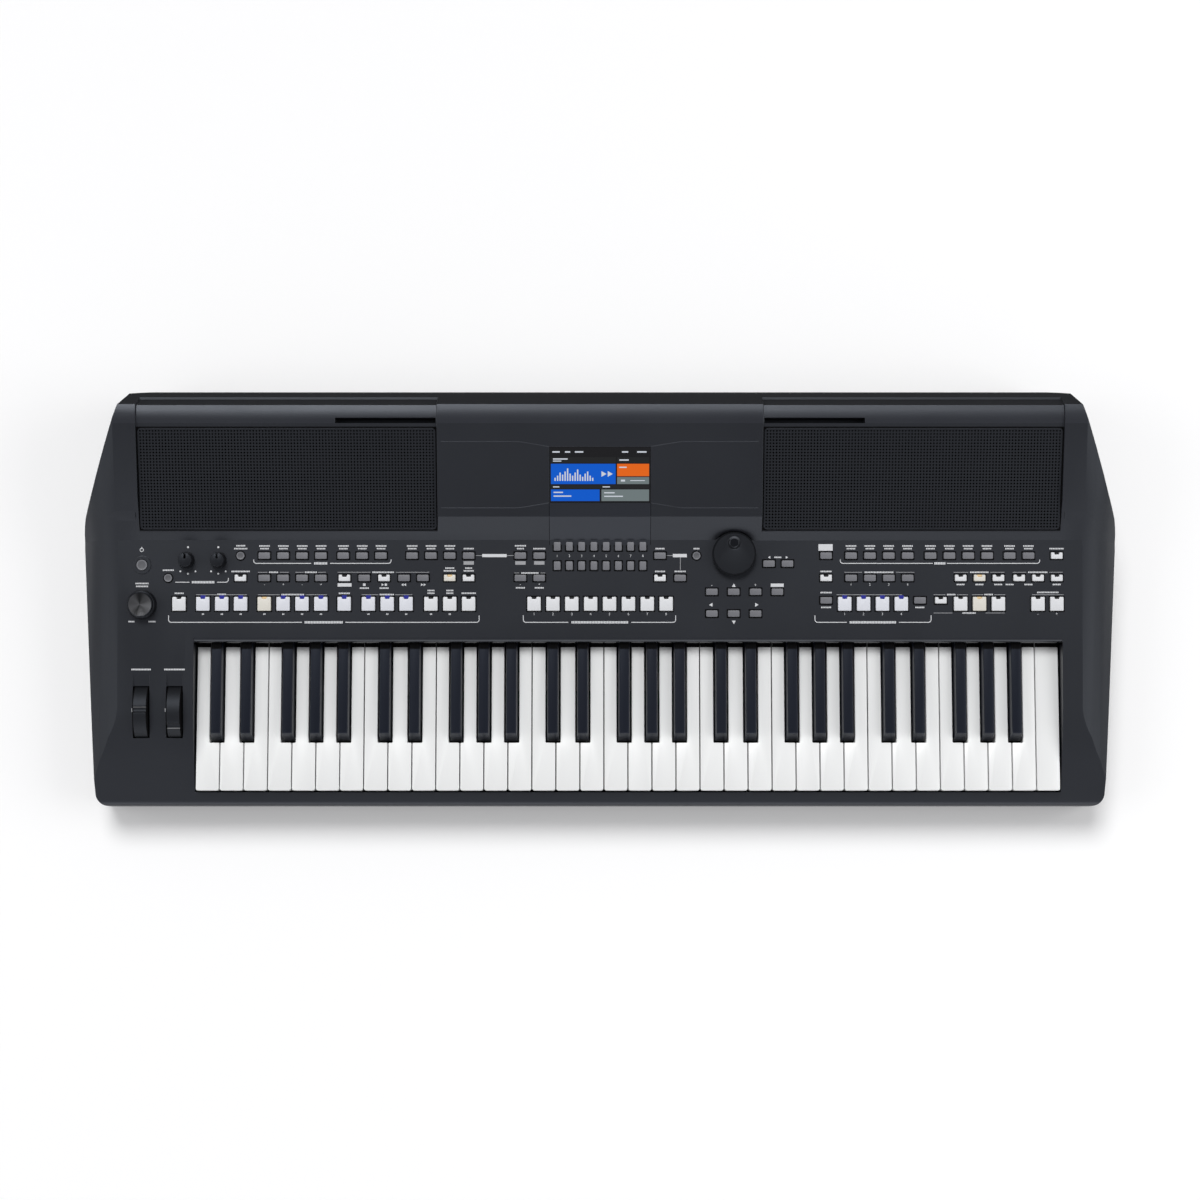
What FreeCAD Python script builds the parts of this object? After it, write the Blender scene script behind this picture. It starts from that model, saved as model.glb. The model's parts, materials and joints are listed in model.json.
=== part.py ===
import FreeCAD
import Part
import Sketcher
import math
import os

# Arranger keyboard with 61 keys and built-in speakers.
# X runs to the player's right, Y to the rear and Z up; all sizes are in millimetres.
# The origin lies on the floor under the middle of the case.

doc = FreeCAD.newDocument("arranger_keyboard")
sheet = doc.addObject("Spreadsheet::Sheet", "sizes")


class Value:
    """A number together with the sheet formula that gives it."""

    def __init__(self, number, text):
        self.number = float(number)
        self.text = text

    def __add__(self, other):
        other = as_value(other)
        return Value(self.number + other.number, "(%s + %s)" % (self.text, other.text))

    def __sub__(self, other):
        other = as_value(other)
        return Value(self.number - other.number, "(%s - %s)" % (self.text, other.text))

    def __mul__(self, other):
        other = as_value(other)
        return Value(self.number * other.number, "(%s * %s)" % (self.text, other.text))

    def __truediv__(self, other):
        other = as_value(other)
        return Value(self.number / other.number, "(%s / %s)" % (self.text, other.text))

    def __radd__(self, other):
        return as_value(other) + self

    def __rsub__(self, other):
        return as_value(other) - self

    def __rmul__(self, other):
        return as_value(other) * self

    def __rtruediv__(self, other):
        return as_value(other) / self

    def __neg__(self):
        return Value(-self.number, "(0 - %s)" % self.text)


def as_value(item):
    if isinstance(item, Value):
        return item
    return Value(item, "(%.6f)" % item)


def sin_of(angle):
    angle = as_value(angle)
    return Value(math.sin(math.radians(angle.number)), "sin(%s)" % angle.text)


def cos_of(angle):
    angle = as_value(angle)
    return Value(math.cos(math.radians(angle.number)), "cos(%s)" % angle.text)


def tan_of(angle):
    angle = as_value(angle)
    return Value(math.tan(math.radians(angle.number)), "tan(%s)" % angle.text)


def root_of(value):
    return Value(math.sqrt(value.number), "sqrt(%s)" % value.text)


def angle_of(rise, run):
    """Angle in degrees of a slope that rises by rise over run."""
    share = rise / run
    return Value(math.degrees(math.atan(share.number)), "(atan(%s) / 1deg)" % share.text)


def of_width(number):
    """A place across the case that keeps its share of the case width."""
    return case_width * number / 1005


def of_height(number):
    """A height that keeps its share of the case height."""
    return case_height * number / 134


row_count = [0]


def size(name, number):
    """One row of the sheet: a plain number, or a formula of the rows above it."""
    row_count[0] += 1
    sheet.set("A%d" % row_count[0], name)
    if isinstance(number, Value):
        sheet.set("B%d" % row_count[0], "=" + number.text.replace("sizes.", ""))
        number = number.number
    else:
        sheet.set("B%d" % row_count[0], "%s" % number)
    sheet.setAlias("B%d" % row_count[0], name)
    return Value(number, "sizes.%s" % name)


# Housing
case_width = size("case_width", 1005)
case_depth = size("case_depth", 410)
case_height = size("case_height", 134)
half_depth = size("half_depth", case_depth / 2)
foot_height = size("foot_height", 4)
wall = size("wall", 3)
parting_height = size("parting_height", of_height(34))
front_taper = size("front_taper", 28)
front_width = size("front_width", case_width - front_taper)
waist_y = size("waist_y", half_depth - 147)
rear_taper = size("rear_taper", 104)
rear_width = size("rear_width", case_width - rear_taper)
cheek_width = size("cheek_width", 37)
crease_width = size("crease_width", case_width - cheek_width * 2)
cheek_tilt = size("cheek_tilt", 14)
cheek_tilt_step = size("cheek_tilt_step", 12)
panel_tilt = size("panel_tilt", 5)
panel_rear_y = size("panel_rear_y", half_depth - 155)
panel_rear_height = size("panel_rear_height", of_height(92))
panel_length = size("panel_length", 99.4)
panel_front_y = size("panel_front_y", panel_rear_y - panel_length * cos_of(panel_tilt))
panel_front_z = size("panel_front_z", panel_rear_height - panel_length * sin_of(panel_tilt))
riser_depth = size("riser_depth", 20.7)
riser_height = size("riser_height", of_height(15.1))
riser_top_y = size("riser_top_y", panel_rear_y + riser_depth)
riser_top_z = size("riser_top_z", panel_rear_height + riser_height)
ridge_radius = size("ridge_radius", 40)
ridge_y = size("ridge_y", half_depth - 36.6)
ridge_z = size("ridge_z", case_height - ridge_radius)
ridge_back_tilt = size("ridge_back_tilt", 10)
rear_shoulder_y = size("rear_shoulder_y", half_depth - 13.5)
rear_shoulder_height = size("rear_shoulder_height", of_height(102))
rear_wall_height = size("rear_wall_height", of_height(36))
heel = size("heel", 9)
facet_y = size("facet_y", 69.5 - half_depth)
front_tilt = size("front_tilt", 18.9)
front_blend = size("front_blend", 26)
front_edge_radius = size("front_edge_radius", 7)
base_inset = size("base_inset", 1)
corner_radius_front = size("corner_radius_front", 12)
corner_radius_waist = size("corner_radius_waist", 80)
corner_radius_rear = size("corner_radius_rear", 14)

# The deck is the tangent from the riser to the round ridge
deck_run = ridge_y - riser_top_y
deck_drop = riser_top_z - ridge_z
deck_reach = deck_run * deck_run + deck_drop * deck_drop
tangent_run = root_of(deck_reach - ridge_radius * ridge_radius)
deck_tilt = size("deck_tilt", angle_of(ridge_radius, tangent_run) - angle_of(deck_drop, deck_run))

# Speakers
recess_inner = size("recess_inner", of_width(156))
recess_outer = size("recess_outer", of_width(443.5))
recess_front_y = size("recess_front_y", panel_rear_y + 7.5)
recess_tilt = size("recess_tilt", deck_tilt + 1.4)
recess_length = size("recess_length", 111.8)
grille_depth = size("grille_depth", 2)
grille_rise = size("grille_rise", 1)
grille_length = size("grille_length", 98.5)
grille_gap = size("grille_gap", 0.6)
woofer_x = size("woofer_x", of_width(345))
woofer_radius = size("woofer_radius", 46)
tweeter_x = size("tweeter_x", of_width(225))
tweeter_radius = size("tweeter_radius", 20)
speaker_v = size("speaker_v", 52)
rest_slot_length = size("rest_slot_length", 96)
rest_slot_width = size("rest_slot_width", 5.4)
rest_slot_y = size("rest_slot_y", half_depth - 45)
rest_slot_depth = size("rest_slot_depth", 15)

# Display
display_width = size("display_width", 97)
display_length = size("display_length", 54)
display_v = size("display_v", 13.4)
display_ledge = size("display_ledge", 2)
lens_thickness = size("lens_thickness", 1.6)

# Keys
white_pitch = size("white_pitch", of_width(23.23))
key_gap = size("key_gap", 1)
key_centre_x = size("key_centre_x", of_width(27))
white_front_y = size("white_front_y", 14.5 - half_depth)
white_top = size("white_top", of_height(65))
white_depth = size("white_depth", of_height(18))
key_wall = size("key_wall", 2)
head_length = size("head_length", 46.3)
body_rear_y = size("body_rear_y", panel_front_y + 43.0218)
black_width = size("black_width", 12.6)
black_top_width = size("black_top_width", 9.6)
lip_height = size("lip_height", of_height(5.6))
black_rise = size("black_rise", panel_front_z - lip_height - white_top - 1.24)
black_sink = size("black_sink", of_height(7))
black_front_y = size("black_front_y", white_front_y + head_length + 1.5)
black_slope = size("black_slope", 7.1)
black_clearance = size("black_clearance", 1)
sharp_shift_two = size("sharp_shift_two", 2.8)
sharp_shift_three = size("sharp_shift_three", 3.6)
pivot_y = size("pivot_y", panel_front_y + 61.0218)
rod_radius = size("rod_radius", 1.5)
rod_play = size("rod_play", 0.06)
rail_height = size("rail_height", of_height(6))
rail_step = size("rail_step", of_height(8))
rail_depth = size("rail_depth", 16)
tail_width = size("tail_width", 8)
slot_gap = size("slot_gap", 1.2)
support_thickness = size("support_thickness", 3)
chassis_height = size("chassis_height", of_height(30))
board_thickness = size("board_thickness", 1.6)

# Wheels
wheel_radius = size("wheel_radius", 30)
wheel_width = size("wheel_width", 14)
wheel_proud = size("wheel_proud", 9)
wheel_y = size("wheel_y", (facet_y + panel_front_y) / 2 - 21.24)
pitch_wheel_x = size("pitch_wheel_x", of_width(-442.6))
mod_wheel_x = size("mod_wheel_x", of_width(-410.4))
wheel_slot_length = size("wheel_slot_length", 46)
wheel_slot_width = size("wheel_slot_width", 16)
axle_radius = size("axle_radius", 2.5)
dish_length = size("dish_length", 74)
dish_depth = size("dish_depth", 3)

# Panel controls
button_pitch = size("button_pitch", of_width(18.2))
small_width = size("small_width", 11.1)
small_length = size("small_length", 6.3)
large_width = size("large_width", 12.9)
large_length = size("large_length", 13.5)
mini_width = size("mini_width", 6.5)
mini_length = size("mini_length", 8.4)
mini_pitch = size("mini_pitch", of_width(11.81))
cursor_pitch = size("cursor_pitch", of_width(21.06))
cap_proud = size("cap_proud", 2.2)
cap_gap = size("cap_gap", 0.35)
flange = size("flange", 0.7)
flange_height = size("flange_height", 1.4)
button_travel = size("button_travel", 0.7)
switch_width = size("switch_width", 5)
board_drop = size("board_drop", 9.4)
notch_width = size("notch_width", 4.4)
notch_length = size("notch_length", 2)
row_upper = size("row_upper", 84.2)
row_middle = size("row_middle", 62.7)
row_lower = size("row_lower", 37.7)
row_lower_small = size("row_lower_small", 41.1)
row_mini_upper = size("row_mini_upper", 93.2)
row_mini_lower = size("row_mini_lower", 74.5)
row_cursor_upper = size("row_cursor_upper", 49.3)
row_cursor_lower = size("row_cursor_lower", 28.3)
row_step = size("row_step", 76.5)
round_radius = size("round_radius", 3.8)
power_radius = size("power_radius", 5.1)
power_v = size("power_v", 75.2)
left_knob_x = size("left_knob_x", of_width(-441.9))
volume_radius = size("volume_radius", 14.4)
volume_top_radius = size("volume_top_radius", 11.9)
volume_height = size("volume_height", 13)
volume_v = size("volume_v", 37)
live_radius = size("live_radius", 8)
live_height = size("live_height", 11)
live_v = size("live_v", 80.1)
live_x = size("live_x", of_width(-399.2))
live_pitch = size("live_pitch", of_width(30.9))
dial_radius = size("dial_radius", 21)
dial_height = size("dial_height", 9)
dial_x = size("dial_x", of_width(129.2))
dial_v = size("dial_v", 85.9)
dimple_radius = size("dimple_radius", 6.5)
shaft_radius = size("shaft_radius", 3)
shaft_play = size("shaft_play", 0.06)

# Rear sockets
jack_plate_y = size("jack_plate_y", half_depth - 18)
jack_left = size("jack_left", of_width(70))
jack_right = size("jack_right", of_width(390))
jack_low = size("jack_low", of_height(44))
jack_high = size("jack_high", of_height(74))
jack_axis = size("jack_axis", of_height(60))
jack_bore = size("jack_bore", 6.5)
jack_bush = size("jack_bush", 10)
jack_nut = size("jack_nut", 14)
jack_depth = size("jack_depth", 24)
line_bore = size("line_bore", 3.6)
power_bore = size("power_bore", 6.4)

# Feet and fasteners
foot_radius = size("foot_radius", 10)
foot_seat = size("foot_seat", 1)
boss_radius = size("boss_radius", 4.5)
screw_radius = size("screw_radius", 1.4)
screw_head = size("screw_head", 3.1)

doc.recompute()

floor_top = foot_height + wall


def bind(thing, prop, value):
    thing.setExpression(prop, as_value(value).text)


def place(thing, x, y, z):
    bind(thing, "Placement.Base.x", x)
    bind(thing, "Placement.Base.y", y)
    bind(thing, "Placement.Base.z", z)
    return thing


def box(name, x0, x1, y0, y1, z0, z1):
    thing = doc.addObject("Part::Box", name)
    bind(thing, "Length", as_value(x1) - x0)
    bind(thing, "Width", as_value(y1) - y0)
    bind(thing, "Height", as_value(z1) - z0)
    return place(thing, x0, y0, z0)


def rod(name, axis, x, y, z, radius, length):
    thing = doc.addObject("Part::Cylinder", name)
    if axis == "x":
        turn = FreeCAD.Rotation(FreeCAD.Vector(0, 1, 0), 90)
        thing.Placement = FreeCAD.Placement(FreeCAD.Vector(0, 0, 0), turn)
    if axis == "y":
        turn = FreeCAD.Rotation(FreeCAD.Vector(1, 0, 0), -90)
        thing.Placement = FreeCAD.Placement(FreeCAD.Vector(0, 0, 0), turn)
    bind(thing, "Radius", radius)
    bind(thing, "Height", length)
    return place(thing, x, y, z)


def cone(name, x, y, z, radius_low, radius_high, length):
    thing = doc.addObject("Part::Cone", name)
    bind(thing, "Radius1", radius_low)
    bind(thing, "Radius2", radius_high)
    bind(thing, "Height", length)
    return place(thing, x, y, z)


def fuse(name, things):
    joined = doc.addObject("Part::MultiFuse", name)
    joined.Shapes = things
    joined.Refine = True
    return joined


def common(name, things):
    shared = doc.addObject("Part::MultiCommon", name)
    shared.Shapes = things
    return shared


def cut(name, base, tool):
    rest = doc.addObject("Part::Cut", name)
    rest.Base = base
    rest.Tool = tool
    rest.Refine = True
    return rest


def group(name, things):
    bundle = doc.addObject("Part::Compound", name)
    bundle.Links = things
    return bundle


def tilted(thing, y, z, tilt):
    thing.Placement = FreeCAD.Placement(
        FreeCAD.Vector(0, 0, 0), FreeCAD.Rotation(FreeCAD.Vector(1, 0, 0), as_value(tilt).number)
    )
    bind(thing, "Placement.Rotation.Angle", tilt)
    return place(thing, 0, y, z)


def on_panel(thing):
    return tilted(thing, panel_front_y, panel_front_z, panel_tilt)


def on_deck(thing):
    return tilted(thing, riser_top_y, riser_top_z, deck_tilt)


recess_front_z = panel_rear_height + (recess_front_y - panel_rear_y) * riser_height / riser_depth


def on_baffle(thing):
    return tilted(thing, recess_front_y, recess_front_z, recess_tilt)


def draw_sides(sketch, corners):
    """Closed outline through the corners; a third item (radius, centre, ccw) bends a side."""
    count = len(corners)
    starts = []
    ends = []
    for index in range(count):
        here = corners[index]
        there = corners[(index + 1) % count]
        begin = FreeCAD.Vector(here[0].number, here[1].number, 0)
        finish = FreeCAD.Vector(there[0].number, there[1].number, 0)
        if len(here) == 2:
            sketch.addGeometry(Part.LineSegment(begin, finish), False)
            starts.append(1)
            ends.append(2)
        else:
            radius, centre, turns_left = here[2]
            middle = FreeCAD.Vector(centre[0].number, centre[1].number, 0)
            circle = Part.Circle(middle, FreeCAD.Vector(0, 0, 1), radius.number)
            angle_begin = math.atan2(begin.y - middle.y, begin.x - middle.x)
            angle_finish = math.atan2(finish.y - middle.y, finish.x - middle.x)
            if turns_left:
                sketch.addGeometry(Part.ArcOfCircle(circle, angle_begin, angle_finish), False)
                starts.append(1)
                ends.append(2)
            else:
                sketch.addGeometry(Part.ArcOfCircle(circle, angle_finish, angle_begin), False)
                starts.append(2)
                ends.append(1)
    for index in range(count):
        after = (index + 1) % count
        sketch.addConstraint(Sketcher.Constraint("Coincident", index, ends[index], after, starts[after]))
    for index in range(count):
        here = corners[index]
        across = Sketcher.Constraint("DistanceX", -1, 1, index, starts[index], here[0].number)
        spot = sketch.addConstraint(across)
        sketch.setExpression("Constraints[%d]" % spot, here[0].text)
        along = Sketcher.Constraint("DistanceY", -1, 1, index, starts[index], here[1].number)
        spot = sketch.addConstraint(along)
        sketch.setExpression("Constraints[%d]" % spot, here[1].text)
        if len(here) == 3:
            spot = sketch.addConstraint(Sketcher.Constraint("Radius", index, here[2][0].number))
            sketch.setExpression("Constraints[%d]" % spot, here[2][0].text)


def side_outline(name, corners):
    sketch = doc.addObject("Sketcher::SketchObject", name)
    turn = FreeCAD.Rotation(FreeCAD.Vector(1, 1, 1), 120)
    sketch.Placement = FreeCAD.Placement(FreeCAD.Vector(0, 0, 0), turn)
    draw_sides(sketch, [(as_value(c[0]), as_value(c[1])) + tuple(c[2:]) for c in corners])
    return sketch


def sweep_x(name, outline, x0, x1):
    thing = doc.addObject("Part::Extrusion", name)
    thing.Base = outline
    thing.DirMode = "Custom"
    thing.Dir = FreeCAD.Vector(1, 0, 0)
    thing.Solid = True
    bind(thing, "LengthFwd", as_value(x1) - x0)
    bind(thing, "Placement.Base.x", x0)
    return thing


nodes = []


def node(name, thing):
    thing.Label = name
    nodes.append(thing)
    return thing


# Side section of the housing
ridge_back = (ridge_y + ridge_radius * sin_of(ridge_back_tilt),
    ridge_z + ridge_radius * cos_of(ridge_back_tilt))
ridge_front = (ridge_y - ridge_radius * sin_of(deck_tilt), ridge_z + ridge_radius * cos_of(deck_tilt))


def panel_height_at(y):
    return panel_rear_height + (as_value(y) - panel_rear_y) * tan_of(panel_tilt)


section = side_outline(
    "section",
    [
        (-half_depth, foot_height),
        (half_depth - heel, foot_height),
        (half_depth, foot_height + heel),
        (half_depth, rear_wall_height),
        (rear_shoulder_y, rear_shoulder_height),
        (ridge_back[0], ridge_back[1], (ridge_radius, (ridge_y, ridge_z), True)),
        (ridge_front[0], ridge_front[1]),
        (riser_top_y, riser_top_z),
        (panel_rear_y, panel_rear_height),
        (-half_depth, panel_height_at(-half_depth)),
    ],
)
inner_section = doc.addObject("Part::Offset2D", "inner_section")
inner_section.Source = section
inner_section.Join = "Intersection"
inner_section.Value = -wall.number
bind(inner_section, "Value", -wall)

# Cheeks fall away outside the creases in facets that grow steeper
cheek_facets = 4
crease_x = crease_width / 2
cheek_step = (case_width / 2 - crease_x) / cheek_facets


def housing(name, outline):
    pieces = [sweep_x(name + "_core", outline, -crease_x, crease_x)]
    for side in (-1, 1):
        drop = as_value(0)
        for index in range(cheek_facets):
            tilt = cheek_tilt + cheek_tilt_step * index
            fall = cheek_step * tan_of(tilt)
            piece = doc.addObject("Part::Extrusion", "%s_cheek_%d_%d" % (name, side + 1, index))
            piece.Base = outline
            piece.DirMode = "Custom"
            piece.Dir = FreeCAD.Vector(side * cheek_step.number, 0, -fall.number)
            bind(piece, "Dir.x", cheek_step * side)
            bind(piece, "Dir.z", -fall)
            bind(piece, "LengthFwd", cheek_step / cos_of(tilt))
            piece.Solid = True
            place(piece, (crease_x + cheek_step * index) * side, 0, -drop)
            pieces.append(piece)
            drop = drop + fall
    return fuse(name, pieces)


def plan_block(name, inset):
    body = doc.addObject("PartDesign::Body", name)
    sketch = body.newObject("Sketcher::SketchObject", name + "_plan")
    for plane in body.Origin.OriginFeatures:
        if plane.Role == "XY_Plane":
            sketch.AttachmentSupport = [(plane, "")]
    sketch.MapMode = "FlatFace"
    half = [
        (front_width / 2 - inset, inset - half_depth),
        (case_width / 2 - inset, waist_y),
        (rear_width / 2 - inset, half_depth - inset),
    ]
    draw_sides(sketch, half + [(-corner[0], corner[1]) for corner in reversed(half)])
    pad = body.newObject("PartDesign::Pad", name + "_pad")
    pad.Profile = sketch
    bind(pad, "Length", case_height + 20)
    doc.recompute()
    last = pad
    radii = [corner_radius_front, corner_radius_waist, corner_radius_rear]
    for index in range(3):
        spot = (half[index][0].number, half[index][1].number)
        edges = []
        for number, edge in enumerate(last.Shape.Edges):
            low = edge.Vertexes[0].Point
            high = edge.Vertexes[-1].Point
            upright = abs(low.x - high.x) < 0.01 and abs(low.y - high.y) < 0.01
            if upright and abs(abs(low.x) - spot[0]) < 0.05 and abs(low.y - spot[1]) < 0.05:
                edges.append("Edge%d" % (number + 1))
        rounding = body.newObject("PartDesign::Fillet", "%s_round_%d" % (name, index))
        rounding.Base = (last, edges)
        bind(rounding, "Radius", radii[index])
        doc.recompute()
        last = rounding
    body.Tip = last
    return body


facet_z = panel_height_at(facet_y)
front_edge_height = facet_z - (facet_y + half_depth) * tan_of(front_tilt)
screw_length = front_edge_height - 10
lip_run = front_edge_radius * tan_of((90 - front_tilt) / 2)

# The panel rolls into the sloping front on a large radius, which meets it one degree off tangent
bend = front_tilt - panel_tilt
blend_tilt = panel_tilt + 1
blend_radius = front_blend / cos_of(front_tilt) * sin_of(bend) / (cos_of(1) - cos_of(bend))


def facet_block(name, inset):
    """Space above the sloping front, with the rounded front edge."""
    sink = inset / cos_of(front_tilt)
    slope_end = (facet_y - front_blend, facet_z - front_blend * tan_of(front_tilt) - sink)
    centre = (slope_end[0] + blend_radius * sin_of(front_tilt),
        slope_end[1] - blend_radius * cos_of(front_tilt))
    blend_end = (centre[0] - blend_radius * sin_of(blend_tilt),
        centre[1] + blend_radius * cos_of(blend_tilt))
    far_y = facet_y + 75.5
    far_z = blend_end[1] + (far_y - blend_end[0]) * tan_of(blend_tilt)
    face = inset - half_depth
    start_z = front_edge_height - lip_run - sink
    touch_y = face + lip_run * cos_of(front_tilt)
    touch_z = front_edge_height + lip_run * sin_of(front_tilt) - sink
    outline = side_outline(
        name + "_outline",
        [
            (-half_depth - 30, start_z),
            (face, start_z, (front_edge_radius, (face + front_edge_radius, start_z), False)),
            (touch_y, touch_z),
            (slope_end[0], slope_end[1], (blend_radius, centre, False)),
            (blend_end[0], blend_end[1]),
            (far_y, far_z),
            (far_y, case_height + 60),
            (-half_depth - 30, case_height + 60),
        ],
    )
    return sweep_x(name, outline, -case_width, case_width)


full_block = housing("full_block", section)
outer = cut("outer", common("outer_plan", [full_block, plan_block("plan_outer", as_value(0))]),
    facet_block("facet_outer", as_value(0)))
inner_block = housing("inner_block", inner_section)
inner = cut("inner", common("inner_plan", [inner_block, plan_block("plan_inner", wall)]),
    facet_block("facet_inner", wall))

# Thickened places inside the top case and openings cut through it
blocks = []
tools = []

slot_left = key_centre_x - white_pitch * 18 - slot_gap
slot_right = key_centre_x + white_pitch * 18 + slot_gap
slot_front = white_front_y - slot_gap
sky = case_height + 60
blocks.append(box("skirt_block", slot_left - wall, slot_right + wall, slot_front - wall,
    panel_front_y, parting_height, sky))
blocks.append(on_panel(box("lip_bar", 0, slot_right - slot_left, 0, 6, -lip_height, 0)))
bind(blocks[-1], "Placement.Base.x", slot_left)
bind(blocks[-1], "Placement.Base.y", panel_front_y + lip_height * sin_of(panel_tilt))
bind(blocks[-1], "Placement.Base.z", panel_front_z - lip_height * cos_of(panel_tilt))
key_slot = box("key_slot", slot_left, slot_right, slot_front, panel_front_y, parting_height - 5, sky)
lip_corner = cut(
    "lip_corner_profile",
    box("lip_corner_box", slot_left, slot_right, -1, lip_height - 0.2, 0.2 - lip_height, 2),
    rod("lip_corner_rod", "x", slot_left, lip_height - 0.2, 0.2 - lip_height, lip_height - 0.2,
        slot_right - slot_left),
)
lip_corner = on_panel(group("lip_corner", [lip_corner]))

# Speaker recesses
run = (cos_of(recess_tilt), sin_of(recess_tilt))
recess_top = (recess_front_y + recess_length * run[0], recess_front_z + recess_length * run[1])
recess_bend = size("recess_bend", 30)
recess_back_tilt = size("recess_back_tilt", 8)
bend_run = recess_bend * tan_of((recess_tilt + recess_back_tilt) / 2)
bend_start = (recess_top[0] - bend_run * run[0], recess_top[1] - bend_run * run[1])
bend_end = (
    recess_top[0] + bend_run * cos_of(recess_back_tilt),
    recess_top[1] - bend_run * sin_of(recess_back_tilt),
)
bend_centre = (bend_start[0] + recess_bend * run[1], bend_start[1] - recess_bend * run[0])
recess_back = (recess_top[0] + 11, recess_top[1] - 11 * tan_of(recess_back_tilt))
recess_end = (recess_back[0] + 8.6, recess_back[1] - 17)
slab = (grille_depth + wall) / run[0]
recess_outline = side_outline(
    "recess_outline",
    [
        (recess_front_y - 12 * run[0], recess_front_z - 12 * run[1]),
        (bend_start[0], bend_start[1], (recess_bend, bend_centre, False)),
        (bend_end[0], bend_end[1]),
        (recess_back[0], recess_back[1]),
        (recess_end[0], recess_end[1]),
        (half_depth + 10, recess_end[1]),
        (half_depth + 10, sky),
        (recess_front_y - 12 * run[0], sky),
    ],
)
slab_outline = side_outline(
    "slab_outline",
    [
        (recess_front_y - 12 * run[0], recess_front_z - 12 * run[1] - slab),
        (recess_top[0], recess_top[1] - slab),
        (recess_back[0] - wall, recess_back[1] - slab),
        (recess_end[0] - wall * 1.3, recess_end[1] - wall),
        (half_depth + 10, recess_end[1] - wall),
        (half_depth + 10, sky),
        (recess_front_y - 12 * run[0], sky),
    ],
)
recesses = []
grilles = []
for side, word in ((-1, "left"), (1, "right")):
    if side < 0:
        near, far = -recess_outer, -recess_inner
    else:
        near, far = recess_inner, recess_outer
    blocks.append(sweep_x(word + "_slab", slab_outline, near - wall, far + wall))
    recesses.append(sweep_x(word + "_recess", recess_outline, near, far))
    pocket_near = near + grille_gap
    pocket_far = far - grille_gap
    pocket_low = as_value(1.5)
    pocket_high = pocket_low + grille_length + grille_gap * 2
    tools.append(on_baffle(group(word + "_grille_pocket", [
        box(word + "_pocket_box", pocket_near, pocket_far, pocket_low, pocket_high, -grille_depth, 6),
    ])))
    slot_edge = far - rest_slot_length - 1 if side < 0 else near + 1
    slot_near = rest_slot_y - rest_slot_width / 2
    slot_far = rest_slot_y + rest_slot_width / 2
    slot_floor = recess_top[1] - rest_slot_depth
    tools.append(box(word + "_rest_slot", slot_edge, slot_edge + rest_slot_length, slot_near,
        slot_far, slot_floor, sky))
    blocks.append(box(word + "_rest_pocket", slot_edge - 2, slot_edge + rest_slot_length + 2,
                      slot_near - 2, slot_far + 2, slot_floor - 2, sky))
    tools.append(on_baffle(group(word + "_sound_holes", [
        rod(word + "_woofer_hole", "z", woofer_x * side, speaker_v, -16, woofer_radius - 4,
            16 - grille_depth),
        rod(word + "_tweeter_hole", "z", tweeter_x * side, speaker_v, -16, tweeter_radius - 3,
            16 - grille_depth),
    ])))
    plate = on_baffle(group(word + "_grille_plate", [
        box(word + "_grille_sheet", pocket_near + grille_gap, pocket_far - grille_gap,
            pocket_low + grille_gap, pocket_high - grille_gap, -grille_depth, grille_rise),
    ]))
    grilles.append(plate)
node("speaker_grilles", group("grille_pair", grilles))

seat_w = -(grille_depth + wall)
woofer_parts = []
tweeter_parts = []
for side in (-1, 1):
    x = woofer_x * side
    solid = fuse("woofer_solid_%d" % (side + 1), [
        rod("woofer_frame_%d" % (side + 1), "z", x, speaker_v, seat_w - 3, woofer_radius + 3, 3),
        cone("woofer_basket_%d" % (side + 1), x, speaker_v, seat_w - 24, 26, woofer_radius - 1, 21),
        rod("woofer_magnet_%d" % (side + 1), "z", x, speaker_v, seat_w - 40, 28, 16),
    ])
    hollow = cone("woofer_cone_%d" % (side + 1), x, speaker_v, seat_w - 20, 14, woofer_radius - 5, 20)
    woofer_parts.append(cut("woofer_%d" % (side + 1), solid, hollow))
    x = tweeter_x * side
    solid = fuse("tweeter_solid_%d" % (side + 1), [
        rod("tweeter_frame_%d" % (side + 1), "z", x, speaker_v, seat_w - 3, tweeter_radius + 3, 3),
        rod("tweeter_magnet_%d" % (side + 1), "z", x, speaker_v, seat_w - 16, 13, 13),
    ])
    hollow = cone("tweeter_cone_%d" % (side + 1), x, speaker_v, seat_w - 2.2, 7, tweeter_radius - 4, 2.2)
    tweeter_parts.append(cut("tweeter_%d" % (side + 1), solid, hollow))
node("woofers", on_baffle(group("woofer_pair", woofer_parts)))
node("tweeters", on_baffle(group("tweeter_pair", tweeter_parts)))

# Display
screen_half = display_width / 2
screen_top = display_v + display_length
lens_drop = lens_thickness + 0.3
tools.append(on_deck(fuse("display_opening", [
    box("lens_seat", -screen_half, screen_half, display_v, screen_top, -lens_drop, 6),
    box("screen_window", display_ledge - screen_half, screen_half - display_ledge,
        display_v + display_ledge, screen_top - display_ledge, -10, 6),
])))
lens = box("lens", 0.2 - screen_half, screen_half - 0.2, display_v + 0.2, screen_top - 0.2,
    -lens_drop, -0.3)
node("display_window", on_deck(group("lens_place", [lens])))
panel_module = fuse("module_solid", [
    box("module_frame", -screen_half - 4, screen_half + 4, display_v - 4, screen_top + 4, -wall - 6, -wall),
    box("module_glass", 3 - screen_half, screen_half - 3, display_v + 3, screen_top - 3, -wall - 1,
        -lens_drop - 0.2),
])
node("display_module", on_deck(group("module_place", [panel_module])))

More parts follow.
